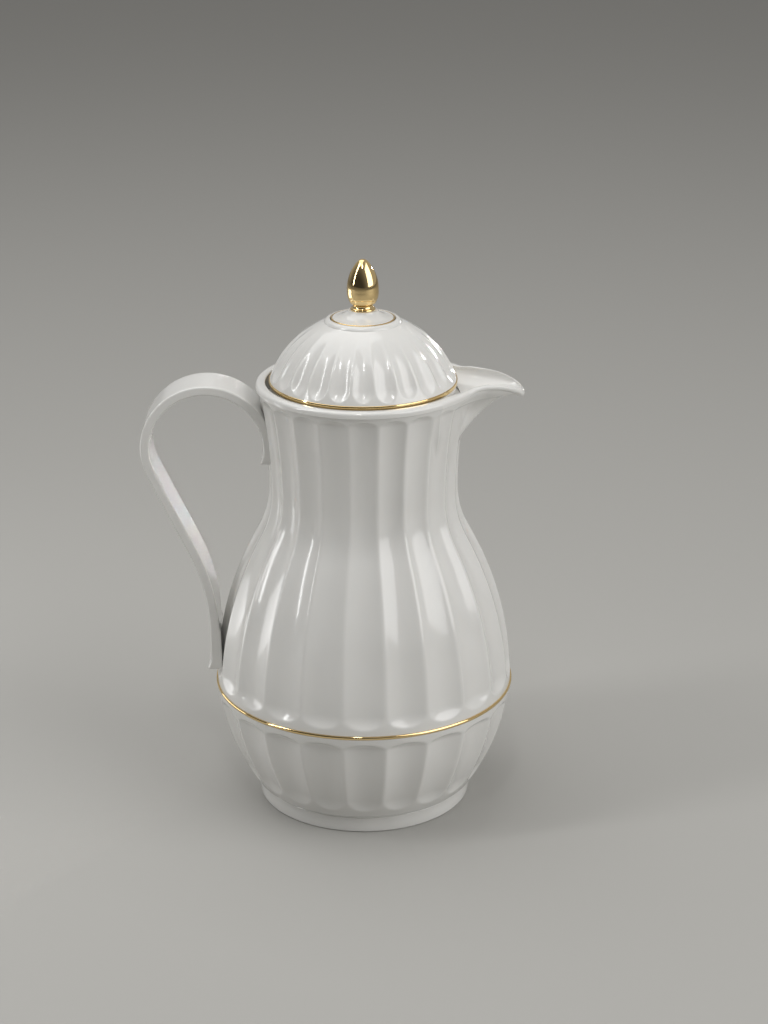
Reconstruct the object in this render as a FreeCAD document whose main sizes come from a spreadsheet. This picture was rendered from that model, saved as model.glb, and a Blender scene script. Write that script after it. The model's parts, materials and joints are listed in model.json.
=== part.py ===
"""Insulated dallah jug: fluted shell on a screwed base, glass flask, strap handle and push-button lid.

Millimetres, +Z up. The origin is on the jug's axis where it stands, with the spout towards +X.
"""
import FreeCAD, Part
import math
import os
import Sketcher

doc = FreeCAD.newDocument("dallah_jug")
sheet = doc.addObject("Spreadsheet::Sheet", "Sizes")

DRIVING_SIZES = {
    # Base with its foot
    "foot_radius": 53.0,
    "foot_height": 8.0,
    "foot_wall": 4.0,
    "foot_recess": 4.0,
    "floor_thickness": 2.6,
    "cove_height": 2.2,
    "cove_out": 2.6,
    "bowl_height": 60.7,
    "bowl_radius": 74.0,
    "bowl_curve": 115.0,
    # Gold ring between base and shell
    "ring_proud": 0.5,
    "ring_height": 1.6,
    "ring_crown": 1.0,
    # Upper shell
    "shell_height": 154.0,
    "shell_step": 0.6,
    "neck_radius": 46.0,
    "neck_height": 101.1,
    "belly_curve": 165.0,
    "shoulder_curve": 45.0,
    "flare_curve": 252.0,
    "shell_wall": 2.4,
    "spigot_height": 3.8,
    "spigot_wall": 2.0,
    "rim_wall": 4.66,
    "rim_depth": 10.2,
    "rim_roll": 1.7,
    "rim_bead": 0.3,
    # Flutes
    "flute_count": 22,
    "flute_depth": 2.4,
    "flute_land": 3.0,
    "flute_run": 5.5,
    "flute_end_share": 0.5,
    "arris_width": 1.0,
    "lid_flute_count": 24,
    "lid_flute_depth": 1.6,
    "lid_flute_land": 1.2,
    "lid_flute_run": 5.9,
    "lid_flute_fade": 3.2,
    # Spout
    "spout_root_inset": 10.5,
    "spout_root_cover": 2.2,
    "spout_crest_out": 13.0,
    "spout_crest_half_width": 14.5,
    "spout_keel_half_width": 10.0,
    "spout_length": 31.6,
    "spout_lip_rise": 1.4,
    "spout_tip_drop": 6.5,
    "spout_keel_drop": 39.5,
    "spout_keel_depth": 8.2,
    "spout_flare_height": 5.0,
    "spout_lip_wall": 2.0,
    "spout_channel_rise": 3.6,
    # Handle
    "strap_width": 24.0,
    "strap_thickness": 4.4,
    "strap_edge": 0.9,
    "crown_drop": 31.0,
    "crown_radius": 29.1,
    "leg_corner_rise": 46.5,
    "leg_bend": 100.0,
    "foot_stand": 2.2,
    "foot_leg_lift": 3.2,
    "head_leg_length": 10.8,
    "flick_out": 1.8,
    "flick_length": 6.5,
    "handle_boss_radius": 4.0,
    "low_boss_rise": 18.5,
    "high_boss_rise": 9.5,
    "screw_radius": 1.5,
    "screw_length": 5.0,
    "screw_head_radius": 3.6,
    "screw_head_height": 2.2,
    # Glass flask
    "flask_space": 8.9,
    "flask_corner": 28.0,
    "flask_wall": 1.6,
    "flask_vacuum": 2.4,
    "flask_shoulder_rise": 66.0,
    "flask_neck_drop": 5.4,
    "flask_neck_radius": 30.2,
    "pad_count": 3,
    "pad_radius": 4.0,
    "pad_rise": 24.0,
    # Support under the flask
    "cushion_inset": 2.0,
    "cushion_thickness": 3.0,
    "cushion_lip": 2.0,
    "cup_wall": 2.0,
    "cup_height": 4.4,
    # Throat
    "gasket_thickness": 2.6,
    "gasket_width": 5.4,
    "throat_depth": 18.5,
    "collar_step": 3.7,
    "collar_wall": 2.5,
    "collar_floor": 2.0,
    "collar_ledge": 4.1,
    "collar_skirt": 7.7,
    "collar_flange": 2.2,
    # Lid
    "lid_clearance": 2.3,
    "lid_skirt_wall": 3.0,
    "lid_skirt_drop": 3.0,
    "lid_wall": 2.2,
    "band_height": 2.0,
    "band_sink": 0.9,
    "band_proud": 0.8,
    "band_thickness": 1.5,
    "band_crown": 3.0,
    "dome_step": 0.2,
    "dome_rise": 28.0,
    "bezel_width": 2.9,
    "bezel_height": 2.6,
    "bezel_round": 2.4,
    "button_tube_wall": 1.8,
    "button_bore_radius": 15.6,
    "button_bore_depth": 11.0,
    # Stopper
    "thread_room": 2.2,
    "plug_wall": 2.5,
    "nose_gap": 3.6,
    "nose_wall": 2.4,
    "nose_length": 16.6,
    "nose_floor": 2.4,
    "valve_hole_radius": 9.0,
    "deck_thickness": 2.2,
    "deck_lift": 0.2,
    "guide_wall": 2.2,
    "guide_rise": 6.2,
    "guide_drop": 4.6,
    "port_count": 6,
    "port_width": 13.0,
    "port_height": 3.8,
    "seal_thickness": 2.2,
    "seal_width": 4.4,
    # Button, valve and spring
    "button_drop": 0.5,
    "button_hub_land": 1.2,
    "button_hub_rise": 3.7,
    "button_hub_curve": 9.0,
    "button_wall": 1.8,
    "button_skirt": 9.6,
    "button_top_wall": 3.2,
    "button_boss_wall": 2.4,
    "button_boss_drop": 13.0,
    "button_ring_width": 0.7,
    "button_ring_height": 0.8,
    "stem_radius": 2.5,
    "stem_grip": 8.5,
    "stem_tail": 6.5,
    "valve_overlap": 3.0,
    "valve_thickness": 2.8,
    "valve_seal_thickness": 1.5,
    "valve_seal_inset": 0.6,
    "nut_width": 8.0,
    "nut_thickness": 2.6,
    "spring_radius": 8.4,
    "spring_wire_radius": 0.6,
    "spring_turns": 8,
    # Finial
    "finial_base_radius": 6.0,
    "finial_base_height": 0.9,
    "finial_waist_radius": 4.85,
    "finial_waist_height": 2.1,
    "finial_heel_radius": 6.2,
    "finial_heel_height": 3.6,
    "finial_radius": 7.6,
    "finial_belly_height": 9.6,
    "finial_tip_radius": 2.6,
    "finial_height": 24.6,
    "finial_cap": 1.3,
    "finial_curve": 20.0,
    "finial_stud_radius": 2.4,
    "finial_stud_length": 7.0,
    # Clearances
    "fit_gap": 0.1,
    "slide_gap": 0.3,
    "handle_gap": 0.2,
}


class Size:
    """A number together with the sheet formula that gives it."""

    def __init__(self, value, text):
        self.value = value
        self.text = text

    def __add__(self, other):
        other = as_size(other)
        return Size(self.value + other.value, f"({self.text} + {other.text})")

    def __sub__(self, other):
        other = as_size(other)
        return Size(self.value - other.value, f"({self.text} - {other.text})")

    def __mul__(self, other):
        other = as_size(other)
        return Size(self.value * other.value, f"({self.text} * {other.text})")

    def __truediv__(self, other):
        other = as_size(other)
        return Size(self.value / other.value, f"({self.text} / {other.text})")

    def __radd__(self, other):
        return as_size(other) + self

    def __rsub__(self, other):
        return as_size(other) - self

    def __rmul__(self, other):
        return as_size(other) * self


def as_size(number):
    if isinstance(number, Size):
        return number
    return Size(float(number), repr(float(number)))


def root(size):
    return Size(math.sqrt(size.value), f"sqrt({size.text})")


def enter(alias, text):
    """Write one cell of the sheet under its alias."""
    enter.row += 1
    sheet.set(f"A{enter.row}", alias)
    sheet.set(f"B{enter.row}", text)
    sheet.setAlias(f"B{enter.row}", alias)


enter.row = 0


def derive(alias, size):
    """Keep a worked-out size in the sheet, so that later formulas stay short."""
    enter(alias, "=" + size.text.replace("Sizes.", ""))
    return Size(size.value, f"Sizes.{alias}")


for alias, value in DRIVING_SIZES.items():
    enter(alias, str(value))
S = {alias: Size(float(value), f"Sizes.{alias}") for alias, value in DRIVING_SIZES.items()}


def follow(alias, size):
    """Give a size that follows from others its place beside the driving ones."""
    S[alias] = derive(alias, size)


# How finely the free curves are stepped

SHELL_STEPS = 10
BOWL_STEPS = 6
DOME_STEPS = 7
SPOUT_SLICES = 12
SPOUT_SIDE_STEPS = 6
LIP_STEPS = 10
CHANNEL_SECTIONS = 10
CHANNEL_ARC_STEPS = 8


# Heights that several pieces share

shell_foot = derive("shell_foot_height", S["bowl_height"] + S["ring_height"])
rim_top = derive("rim_top_height", shell_foot + S["shell_height"])
neck_level = derive("neck_level", shell_foot + S["neck_height"])
skin_depth = derive("skin_depth", S["flute_depth"] + S["shell_wall"])
collar_seat = derive("collar_seat_height", rim_top - S["rim_depth"])
collar_top = derive("collar_top_height", collar_seat + S["collar_flange"])
band_foot = derive("band_foot_height", rim_top - S["band_sink"])
band_top = derive("band_top_height", band_foot + S["band_height"])
skirt_foot = derive("lid_skirt_foot_height", band_foot - S["lid_skirt_drop"])
dome_top = derive("dome_top_height", band_top + S["dome_rise"])
bezel_top = derive("bezel_top_height", dome_top + S["bezel_height"])
deck_foot = derive("deck_foot_height", skirt_foot + S["deck_lift"])
deck_top = derive("deck_top_height", deck_foot + S["deck_thickness"])
button_edge = derive("button_edge_height", bezel_top - S["button_drop"])
button_top = derive("button_top_height", button_edge + S["button_hub_rise"])
button_radius = derive("button_radius", S["button_bore_radius"] - S["slide_gap"])
follow("bowl_foot_radius", S["foot_radius"] + S["cove_out"])
follow("ring_radius", S["bowl_radius"] + S["ring_proud"])
follow("belly_radius", S["bowl_radius"] - S["shell_step"])
spigot_radius = derive("spigot_radius", S["belly_radius"] - S["shell_wall"] - S["fit_gap"])
floor_top = derive("floor_top_height", S["foot_recess"] + S["floor_thickness"])


# Sketching and turning

def origin_plane(body, role):
    return next(plane for plane in body.Origin.OriginFeatures if plane.Role == role)


def new_sketch(body, role, name):
    sketch = body.newObject("Sketcher::SketchObject", name)
    sketch.AttachmentSupport = (origin_plane(body, role), [""])
    sketch.MapMode = "FlatFace"
    return sketch


def bind(sketch, constraint, size):
    """Add one dimension to a sketch and tie it to the sheet."""
    index = sketch.addConstraint(constraint)
    sketch.setExpression(f"Constraints[{index}]", size.text)


def locate(sketch, edge, end, across, up):
    """Fix a corner by its distances from the sketch's origin."""
    for kind, size, axis in (("DistanceX", across, -2), ("DistanceY", up, -1)):
        if size.value == 0:
            sketch.addConstraint(Sketcher.Constraint("PointOnObject", edge, end, axis))
        elif size.value > 0:
            bind(sketch, Sketcher.Constraint(kind, -1, 1, edge, end, size.value), size)
        else:
            bind(sketch, Sketcher.Constraint(kind, edge, end, -1, 1, -size.value), 0 - size)


def arc_middle(start, end, bend):
    """Middle of the arc that bulges to the right of its chord, or to the left where the bend is negative."""
    chord = end - start
    radius = abs(bend)
    rise = radius - math.sqrt(max(0.0, radius ** 2 - chord.Length ** 2 / 4))
    aside = FreeCAD.Vector(chord.y, -chord.x, 0).normalize()
    return (start + end) * 0.5 + aside * math.copysign(rise, bend)


def draw(sketch, corners):
    """Close an outline through corners (across, up), each with an optional bend of the edge that follows."""
    corners = [(as_size(c[0]), as_size(c[1]), as_size(c[2]) if len(c) > 2 else None) for c in corners]
    points = [FreeCAD.Vector(across.value, up.value, 0) for across, up, bend in corners]
    ends = []
    for index, (across, up, bend) in enumerate(corners):
        start = points[index]
        end = points[(index + 1) % len(points)]
        if bend is None:
            edge = Part.LineSegment(start, end)
        else:
            edge = Part.Arc(start, arc_middle(start, end, bend.value), end)
        number = sketch.addGeometry(edge)
        first_end = sketch.getPoint(number, 1)
        forward = first_end.distanceToPoint(start) < first_end.distanceToPoint(end)
        ends.append((1, 2) if forward else (2, 1))
    for index in range(len(corners)):
        following = (index + 1) % len(corners)
        sketch.addConstraint(
            Sketcher.Constraint("Coincident", index, ends[index][1], following, ends[following][0])
        )
    for index, (across, up, bend) in enumerate(corners):
        locate(sketch, index, ends[index][0], across, up)
        if bend is not None:
            size = bend if bend.value > 0 else 0 - bend
            bind(sketch, Sketcher.Constraint("Radius", index, size.value), size)


def turn(body, corners, name, kind="PartDesign::Revolution"):
    """Turn an outline of (radius, height) corners about the jug's axis."""
    sketch = new_sketch(body, "XZ_Plane", f"{name}_outline")
    draw(sketch, corners)
    feature = body.newObject(kind, name)
    feature.Profile = sketch
    feature.ReferenceAxis = (sketch, ["V_Axis"])
    feature.Angle = 360.0
    body.Tip = feature
    return feature


def turned(label, corners):
    body = doc.addObject("PartDesign::Body", label)
    turn(body, corners, f"{label}_turn")
    return body


def fused(label, shapes):
    feature = doc.addObject("Part::MultiFuse", label)
    feature.Shapes = shapes
    return feature


def cut(label, base, tool):
    feature = doc.addObject("Part::Cut", label)
    feature.Base = base
    feature.Tool = tool
    return feature


def solid(label, shape):
    feature = doc.addObject("Part::Feature", label)
    feature.Shape = shape
    return feature


# Shell profile: a belly arc, a shoulder arc and the arc that flares to the rim, all tangent

shoulder_centre = derive("shoulder_centre_radius", S["neck_radius"] + S["shoulder_curve"])
flare_centre = derive("flare_centre_radius", S["neck_radius"] + S["flare_curve"])
arc_sum = derive("arc_sum", S["belly_curve"] + S["shoulder_curve"])
reach_out = derive("belly_to_shoulder_out", shoulder_centre - S["belly_radius"])
reach_up = derive("belly_to_shoulder_up", neck_level - shell_foot)
reach = derive("belly_to_shoulder", root(reach_out * reach_out + reach_up * reach_up))
along = derive(
    "belly_centre_along",
    (S["belly_curve"] * S["belly_curve"] + reach * reach - arc_sum * arc_sum) / (2 * reach),
)
aside = derive("belly_centre_aside", root(S["belly_curve"] * S["belly_curve"] - along * along))
belly_centre_r = derive(
    "belly_centre_radius", S["belly_radius"] + (along * reach_out - aside * reach_up) / reach
)
belly_centre_z = derive("belly_centre_height", shell_foot + (along * reach_up + aside * reach_out) / reach)


def belly_point(height, offset):
    """Radius of the belly arc at a height, grown by an offset."""
    curve = S["belly_curve"] + offset
    rise = height - belly_centre_z
    return belly_centre_r + root(curve * curve - rise * rise)


def flare_point(height, offset):
    curve = S["flare_curve"] - offset
    rise = height - neck_level
    return flare_centre - root(curve * curve - rise * rise)


def shell_turning_point(offset):
    """Where the belly arc passes into the shoulder arc."""
    share = (S["belly_curve"] + offset) / arc_sum
    return (
        belly_centre_r + (shoulder_centre - belly_centre_r) * share,
        belly_centre_z + (neck_level - belly_centre_z) * share,
    )


def shell_side(low, high, offset):
    """Corners and bends of the shell's side from one height up to another, grown by an offset."""
    turning = shell_turning_point(offset)
    return [
        (belly_point(low, offset), low, S["belly_curve"] + offset),
        (turning[0], turning[1], 0 - (S["shoulder_curve"] - offset)),
        (S["neck_radius"] + offset, neck_level, 0 - (S["flare_curve"] - offset)),
        (flare_point(high, offset), high),
    ]


def shell_radius(height):
    """Radius of the arrises between the flutes at a height, as a number."""
    level = as_size(height)
    if height < shell_turning_point(as_size(0))[1].value:
        return belly_point(level, 0).value
    if height < neck_level.value:
        rise = height - neck_level.value
        return shoulder_centre.value - math.sqrt(S["shoulder_curve"].value ** 2 - rise ** 2)
    return flare_point(level, 0).value


# Sizes at the rim, which the spout and the lid follow

rim_radius = derive("rim_radius", flare_point(rim_top - S["rim_roll"], 0) + S["rim_bead"])
follow("rim_bore_radius", rim_radius - S["rim_wall"])
follow("lid_skirt_radius", S["rim_bore_radius"] - S["lid_clearance"])
follow("band_radius", S["lid_skirt_radius"] + S["band_proud"])
follow("dome_radius", S["lid_skirt_radius"] + S["dome_step"])
follow("bezel_radius", S["button_bore_radius"] + S["bezel_width"])
follow("spout_root_reach", S["neck_radius"] - S["spout_root_inset"])
follow("spout_crest_reach", S["neck_radius"] + S["spout_crest_out"])
follow("spout_tip_reach", S["neck_radius"] + S["spout_length"])
spout_root_chord = root(rim_radius * rim_radius - S["spout_root_reach"] * S["spout_root_reach"])
follow("spout_root_half_width", spout_root_chord - S["spout_root_cover"])


# Places of the handle on the shell

follow("crown_height", rim_top - S["crown_drop"])
follow("foot_leg_height", shell_foot + S["foot_leg_lift"])
follow("head_leg_height", S["crown_height"] - S["head_leg_length"])
follow("handle_boss_height_low", S["foot_leg_height"] + S["low_boss_rise"])
follow("handle_boss_height_high", S["head_leg_height"] + S["high_boss_rise"])
follow("foot_leg_reach", belly_point(S["handle_boss_height_low"], 0) + S["foot_stand"])
follow("head_leg_reach", flare_point(S["handle_boss_height_high"], 0))
follow("crown_reach", S["head_leg_reach"] + S["crown_radius"])


# Places of the flask in the shell and of the stopper in the flask's mouth

cushion_foot = derive("cushion_foot_height", floor_top + S["cup_height"])
follow("flask_foot_height", cushion_foot + S["cushion_thickness"])
follow("flask_radius", spigot_radius - S["spigot_wall"] - S["flask_space"])
follow("flask_neck_start", neck_level - S["flask_neck_drop"])
follow("flask_side_height", S["flask_neck_start"] - S["flask_shoulder_rise"])
follow("flask_mouth_height", collar_seat - S["throat_depth"])
follow("pad_height", S["flask_foot_height"] + S["flask_corner"] + S["pad_rise"])
follow("cushion_radius", S["flask_radius"] - S["flask_corner"] - S["cushion_inset"])
inner_inset = derive("inner_flask_inset", S["flask_wall"] + S["flask_vacuum"])
flask_bore = derive("flask_bore_radius", S["flask_neck_radius"] - inner_inset - S["flask_wall"])
gasket_top = derive("gasket_top_height", S["flask_mouth_height"] + S["gasket_thickness"])
collar_ledge_top = derive("collar_ledge_top", gasket_top + S["collar_floor"])
seal_foot = derive("seal_foot_height", collar_ledge_top + S["fit_gap"])
follow("collar_bore_radius", S["flask_neck_radius"] - S["collar_step"])
follow("plug_radius", S["collar_bore_radius"] - S["thread_room"])
follow("plug_seat_height", seal_foot + S["seal_thickness"] + S["fit_gap"])
follow("nose_radius", flask_bore - S["nose_gap"])
follow("nose_foot_height", S["plug_seat_height"] - S["nose_length"])
follow("valve_radius", S["valve_hole_radius"] + S["valve_overlap"])
follow("button_boss_radius", S["stem_radius"] + S["fit_gap"] + S["button_boss_wall"])
follow("button_hub_radius", S["finial_base_radius"] + S["button_hub_land"])
follow("finial_tip_height", S["finial_height"] - S["finial_cap"])


# Base profile: one arc from the cove over the foot up to the ring

bowl_start = derive("bowl_start_height", S["foot_height"] + S["cove_height"])
chord_out = derive("bowl_chord_out", S["bowl_radius"] - S["bowl_foot_radius"])
chord_up = derive("bowl_chord_up", S["bowl_height"] - bowl_start)
chord = derive("bowl_chord", root(chord_out * chord_out + chord_up * chord_up))
chord_to_centre = derive(
    "bowl_chord_to_centre", root(S["bowl_curve"] * S["bowl_curve"] - chord * chord / 4)
)
bowl_centre_r = derive(
    "bowl_centre_radius",
    (S["bowl_radius"] + S["bowl_foot_radius"]) / 2 - chord_to_centre * chord_up / chord,
)
bowl_centre_z = derive(
    "bowl_centre_height", (S["bowl_height"] + bowl_start) / 2 + chord_to_centre * chord_out / chord
)


def bowl_point(height, offset):
    curve = S["bowl_curve"] + offset
    rise = height - bowl_centre_z
    return bowl_centre_r + root(curve * curve - rise * rise)


# Fluted skins

def flute_wire(height, radius, depth, share, count, first_arris):
    """Closed ring of hollow arcs, each with its share of the pitch, and the lands between them."""
    pitch = 2 * math.pi / count

    def point(angle, distance):
        return FreeCAD.Vector(distance * math.cos(angle), distance * math.sin(angle), height)

    edges = []
    for index in range(count):
        centre = first_arris + (index + 0.5) * pitch
        start = centre - share * pitch / 2
        end = centre + share * pitch / 2
        hollow = Part.Arc(point(start, radius), point(centre, radius - depth), point(end, radius))
        land = Part.Arc(point(end, radius), point(centre + pitch / 2, radius), point(start + pitch, radius))
        edges += [hollow.toShape(), land.toShape()]
    return Part.Wire(edges)


def ease(share):
    share = min(1.0, max(0.0, share))
    return share * share * (3 - 2 * share)


def flute_share(radius, count, run_in):
    """Share of the pitch that a flute takes: all but the arris, and less where its rounded end runs in."""
    arris = S["arris_width"].value * count / (2 * math.pi * radius)
    end = 1 - min(1.0, max(0.0, run_in))
    end_share = S["flute_end_share"].value
    return (1 - arris) * (end_share + (1 - end_share) * math.sqrt(1 - end ** 2))


def flute_heights(low, high, land, run, middle_count):
    """Heights of the sections: plain land, run-in, steps that widen towards the middle, run-out and land."""
    first = low + land + run
    last = high - land - run
    run_in = [low, low + land / 2, low + land, low + land + run / 3, low + land + run * 2 / 3]
    run_out = [low + high - height for height in reversed(run_in)]
    middle = (first + last) / 2
    steps = [
        middle - (last - first) / 2 * math.cos(math.pi * index / middle_count)
        for index in range(middle_count + 1)
    ]
    return run_in + steps + run_out


def fluted_skin(label, low, high, radius_at, middle_count):
    """Loft through fluted sections. The flutes keep their proportions where the body is slim."""
    land = S["flute_land"].value
    run = S["flute_run"].value
    count = int(S["flute_count"].value)
    wires = []
    for height in flute_heights(low, high, land, run, middle_count):
        run_in = min(height - low - land, high - height - land) / run
        radius = radius_at(height)
        depth = S["flute_depth"].value * radius / S["belly_radius"].value * ease(run_in)
        wires.append(flute_wire(height, radius, depth, flute_share(radius, count, run_in), count, 0.0))
    return solid(label, Part.makeLoft(wires, True))


# Spout: level slices that grow from the neck to the beak, cut off at the lip, with a half-oval channel

spout_root = S["spout_root_reach"].value
spout_tip = S["spout_tip_reach"].value
keel_low = rim_top.value - S["spout_keel_drop"].value
keel_high = rim_top.value - S["spout_keel_depth"].value


def spout_half_width(reach, nose, crest, crest_half_width, root_half_width):
    """Half the width of a slice: a rounded beak in front of its crest, a flare into the neck behind it."""
    beak = crest_half_width / math.sqrt(nose - crest)
    flare = (root_half_width - beak * math.sqrt(nose - spout_root)) / (crest - spout_root) ** 1.5
    return beak * math.sqrt(max(0.0, nose - reach)) + flare * max(0.0, crest - reach) ** 1.5


def channel_half_width(reach, nose):
    """The channel leaves the lip's wall beside it, and a thicker one where it comes through the rim."""
    wall = S["spout_lip_wall"].value
    return spout_half_width(
        reach,
        nose,
        S["spout_crest_reach"].value,
        S["spout_crest_half_width"].value - wall,
        S["spout_root_half_width"].value - wall * 3,
    )


def spout_slice(height, nose, share, half_width):
    """Outline of the spout at a height, from 0 where it leaves the neck to 1 at its full reach and width."""
    neck = shell_radius(height)
    crest_share = (S["spout_crest_reach"].value - spout_root) / (spout_tip - spout_root)
    crest = spout_root + (nose - spout_root) * crest_share
    neck_half_width = math.sqrt(max(0.0, neck ** 2 - crest ** 2))
    root_on_neck = math.sqrt(neck ** 2 - spout_root ** 2) - S["spout_lip_wall"].value / 2
    crest_half_width = neck_half_width + (half_width - neck_half_width) * share
    root_half_width = root_on_neck + (S["spout_root_half_width"].value - root_on_neck) * share
    points = []
    for step in range(-SPOUT_SIDE_STEPS, SPOUT_SIDE_STEPS + 1):
        reach = nose - (nose - spout_root) * (step / SPOUT_SIDE_STEPS) ** 2
        across = spout_half_width(reach, nose, crest, crest_half_width, root_half_width)
        points.append(FreeCAD.Vector(reach, math.copysign(across, step), height))
    curve = Part.BSplineCurve()
    curve.interpolate(points)
    return Part.Wire([curve.toShape(), Part.makeLine(points[-1], points[0])])


def spout_lip(reach):
    crest = S["spout_crest_reach"].value
    top = rim_top.value + S["spout_lip_rise"].value
    if reach < crest:
        return top - S["spout_lip_rise"].value * ((crest - reach) / (crest - spout_root)) ** 2
    return top - S["spout_tip_drop"].value * ((reach - crest) / (spout_tip - crest)) ** 2


def lip_cutter(height):
    """Everything over the lip line, which rises from the rim and drops to the tip."""
    overhang = S["spout_lip_wall"].value
    width = S["spout_root_half_width"].value + overhang
    length = spout_tip + 2 * overhang - spout_root
    points = []
    for step in range(LIP_STEPS + 1):
        reach = spout_root - overhang + length * step / LIP_STEPS
        points.append(FreeCAD.Vector(reach, -width, spout_lip(reach)))
    curve = Part.BSplineCurve()
    curve.interpolate(points)
    start = FreeCAD.Vector(points[0].x, -width, height)
    end = FreeCAD.Vector(points[-1].x, -width, height)
    outline = Part.Wire([
        curve.toShape(),
        Part.makeLine(points[-1], end),
        Part.makeLine(end, start),
        Part.makeLine(start, points[0]),
    ])
    return Part.Face(outline).extrude(FreeCAD.Vector(0, 2 * width, 0))


def spout_solid():
    """A narrow underside as level slices, a flare to the lip's plan, an upright wall and the lip line cut on top."""
    slices = []
    for step in range(SPOUT_SLICES + 1):
        angle = math.pi / 2 * step / SPOUT_SLICES
        nose = spout_tip - (spout_tip - S["neck_radius"].value) * math.cos(angle)
        height = keel_low + (keel_high - keel_low) * math.sin(angle)
        share = (nose - S["neck_radius"].value) / (spout_tip - S["neck_radius"].value)
        slices.append(spout_slice(height, nose, share, S["spout_keel_half_width"].value))
    flare_top = keel_high + S["spout_flare_height"].value
    slices.append(spout_slice(flare_top, spout_tip, 1.0, S["spout_crest_half_width"].value))
    underside = Part.makeLoft(slices, True, True)
    top = rim_top.value + S["spout_lip_rise"].value * 2
    upper = Part.Face(slices[-1]).extrude(FreeCAD.Vector(0, 0, top - flare_top))
    return underside.fuse(upper).cut(lip_cutter(top + S["spout_lip_rise"].value)).Solids[0]


def spout_floor(reach):
    """Floor of the pouring channel, level with the throat collar at the root."""
    share = (reach - spout_root) / (spout_tip - spout_root)
    return collar_top.value + S["spout_channel_rise"].value * share ** 2


def channel_wire(reach, nose):
    """Half-oval section of the channel, open above the lip."""
    top = spout_lip(reach)
    half_width = max(S["fit_gap"].value, channel_half_width(reach, nose))
    depth = top - spout_floor(reach)
    points = []
    for step in range(CHANNEL_ARC_STEPS + 1):
        angle = math.pi * step / CHANNEL_ARC_STEPS
        points.append(FreeCAD.Vector(reach, half_width * math.cos(angle), top - depth * math.sin(angle)))
    curve = Part.BSplineCurve()
    curve.interpolate(points)
    lift = FreeCAD.Vector(0, 0, S["rim_depth"].value)
    start = points[0]
    end = points[-1]
    return Part.Wire([
        curve.toShape(),
        Part.makeLine(end, end + lift),
        Part.makeLine(end + lift, start + lift),
        Part.makeLine(start + lift, start),
    ])


def channel_solid():
    """The channel is the beak's plan drawn back by the lip's wall, closer stepped towards the tip."""
    wall = S["spout_lip_wall"].value
    nose = spout_tip - wall
    wires = []
    for step in range(CHANNEL_SECTIONS + 1):
        reach = nose - (nose - spout_root + wall) * (1 - step / (CHANNEL_SECTIONS + 0.5)) ** 2
        wires.append(channel_wire(reach, nose))
    return Part.makeLoft(wires, True)


spout_outer = solid("spout_outer", spout_solid())
spout_channel = solid("spout_channel", channel_solid())


# Upper shell

shell_skin = fluted_skin(
    "shell_skin", shell_foot.value, rim_top.value - S["rim_roll"].value, shell_radius, SHELL_STEPS
)
rim_foot = derive("rim_foot_height", rim_top - S["rim_roll"] - S["flute_land"] / 2)
rim_ring = turned("rim_ring", [
    (0, rim_foot),
    (rim_radius, rim_foot),
    (rim_radius, rim_top - S["rim_roll"], S["rim_roll"]),
    (rim_radius - S["rim_roll"], rim_top),
    (0, rim_top),
])
spigot_bore = derive("spigot_bore_radius", spigot_radius + S["fit_gap"])
spigot_top = derive("spigot_bore_height", shell_foot + S["spigot_height"] + S["slide_gap"])
inner_side = shell_side(spigot_top + S["fit_gap"], collar_seat, 0 - skin_depth)
shell_void = turned("shell_void", [
    (0, shell_foot - S["ring_height"]),
    (spigot_bore, shell_foot - S["ring_height"]),
    (spigot_bore, spigot_top),
    *inner_side,
    (S["rim_bore_radius"], collar_seat),
    (S["rim_bore_radius"], rim_top + S["rim_depth"]),
    (0, rim_top + S["rim_depth"]),
])


def cross_hole(label, radius, start, height, length):
    """Round bar along +X, from a distance on the handle's side."""
    bar = doc.addObject("Part::Cylinder", label)
    bar.setExpression("Radius", radius.text)
    bar.setExpression("Height", length.text)
    bar.Placement = FreeCAD.Placement(
        FreeCAD.Vector(-start.value, 0, height.value), FreeCAD.Rotation(FreeCAD.Vector(0, 1, 0), 90)
    )
    bar.setExpression("Placement.Base.x", f"-({start.text})")
    bar.setExpression("Placement.Base.z", height.text)
    return bar


boss_levels = {"low": S["handle_boss_height_low"], "high": S["handle_boss_height_high"]}
boss_faces = {
    "low": derive("boss_face_low", belly_point(boss_levels["low"], 0 - skin_depth)),
    "high": derive("boss_face_high", flare_point(boss_levels["high"], 0 - skin_depth)),
}
shell_holes = [
    cross_hole(
        f"shell_hole_{name}",
        S["handle_boss_radius"] + S["fit_gap"],
        boss_faces[name] + skin_depth + S["strap_thickness"],
        level,
        skin_depth * 2 + S["strap_thickness"],
    )
    for name, level in boss_levels.items()
]


# Base bowl

def bowl_radius_at(height):
    return bowl_point(as_size(height), 0).value


bowl_skin = fluted_skin("bowl_skin", bowl_start.value, S["bowl_height"].value, bowl_radius_at, BOWL_STEPS)
foot_bore = derive("foot_bore_radius", S["foot_radius"] - S["foot_wall"])
foot_round = derive("foot_round", S["foot_wall"] / 4)
base_core = turned("base_core", [
    (0, S["foot_recess"]),
    (foot_bore, S["foot_recess"]),
    (foot_bore, 0),
    (S["foot_radius"] - foot_round, 0, foot_round),
    (S["foot_radius"], foot_round),
    (S["foot_radius"], S["foot_height"], 0 - S["cove_height"] * 2),
    (S["bowl_foot_radius"], bowl_start),
    (S["bowl_foot_radius"], bowl_start + S["flute_land"]),
    (spigot_radius - skin_depth, S["bowl_height"] - S["flute_land"]),
    (spigot_radius, S["bowl_height"] - S["fit_gap"]),
    (spigot_radius, shell_foot + S["spigot_height"]),
    (0, shell_foot + S["spigot_height"]),
])
bowl_void_start = derive("bowl_void_start", bowl_start + S["flute_land"])
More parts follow.
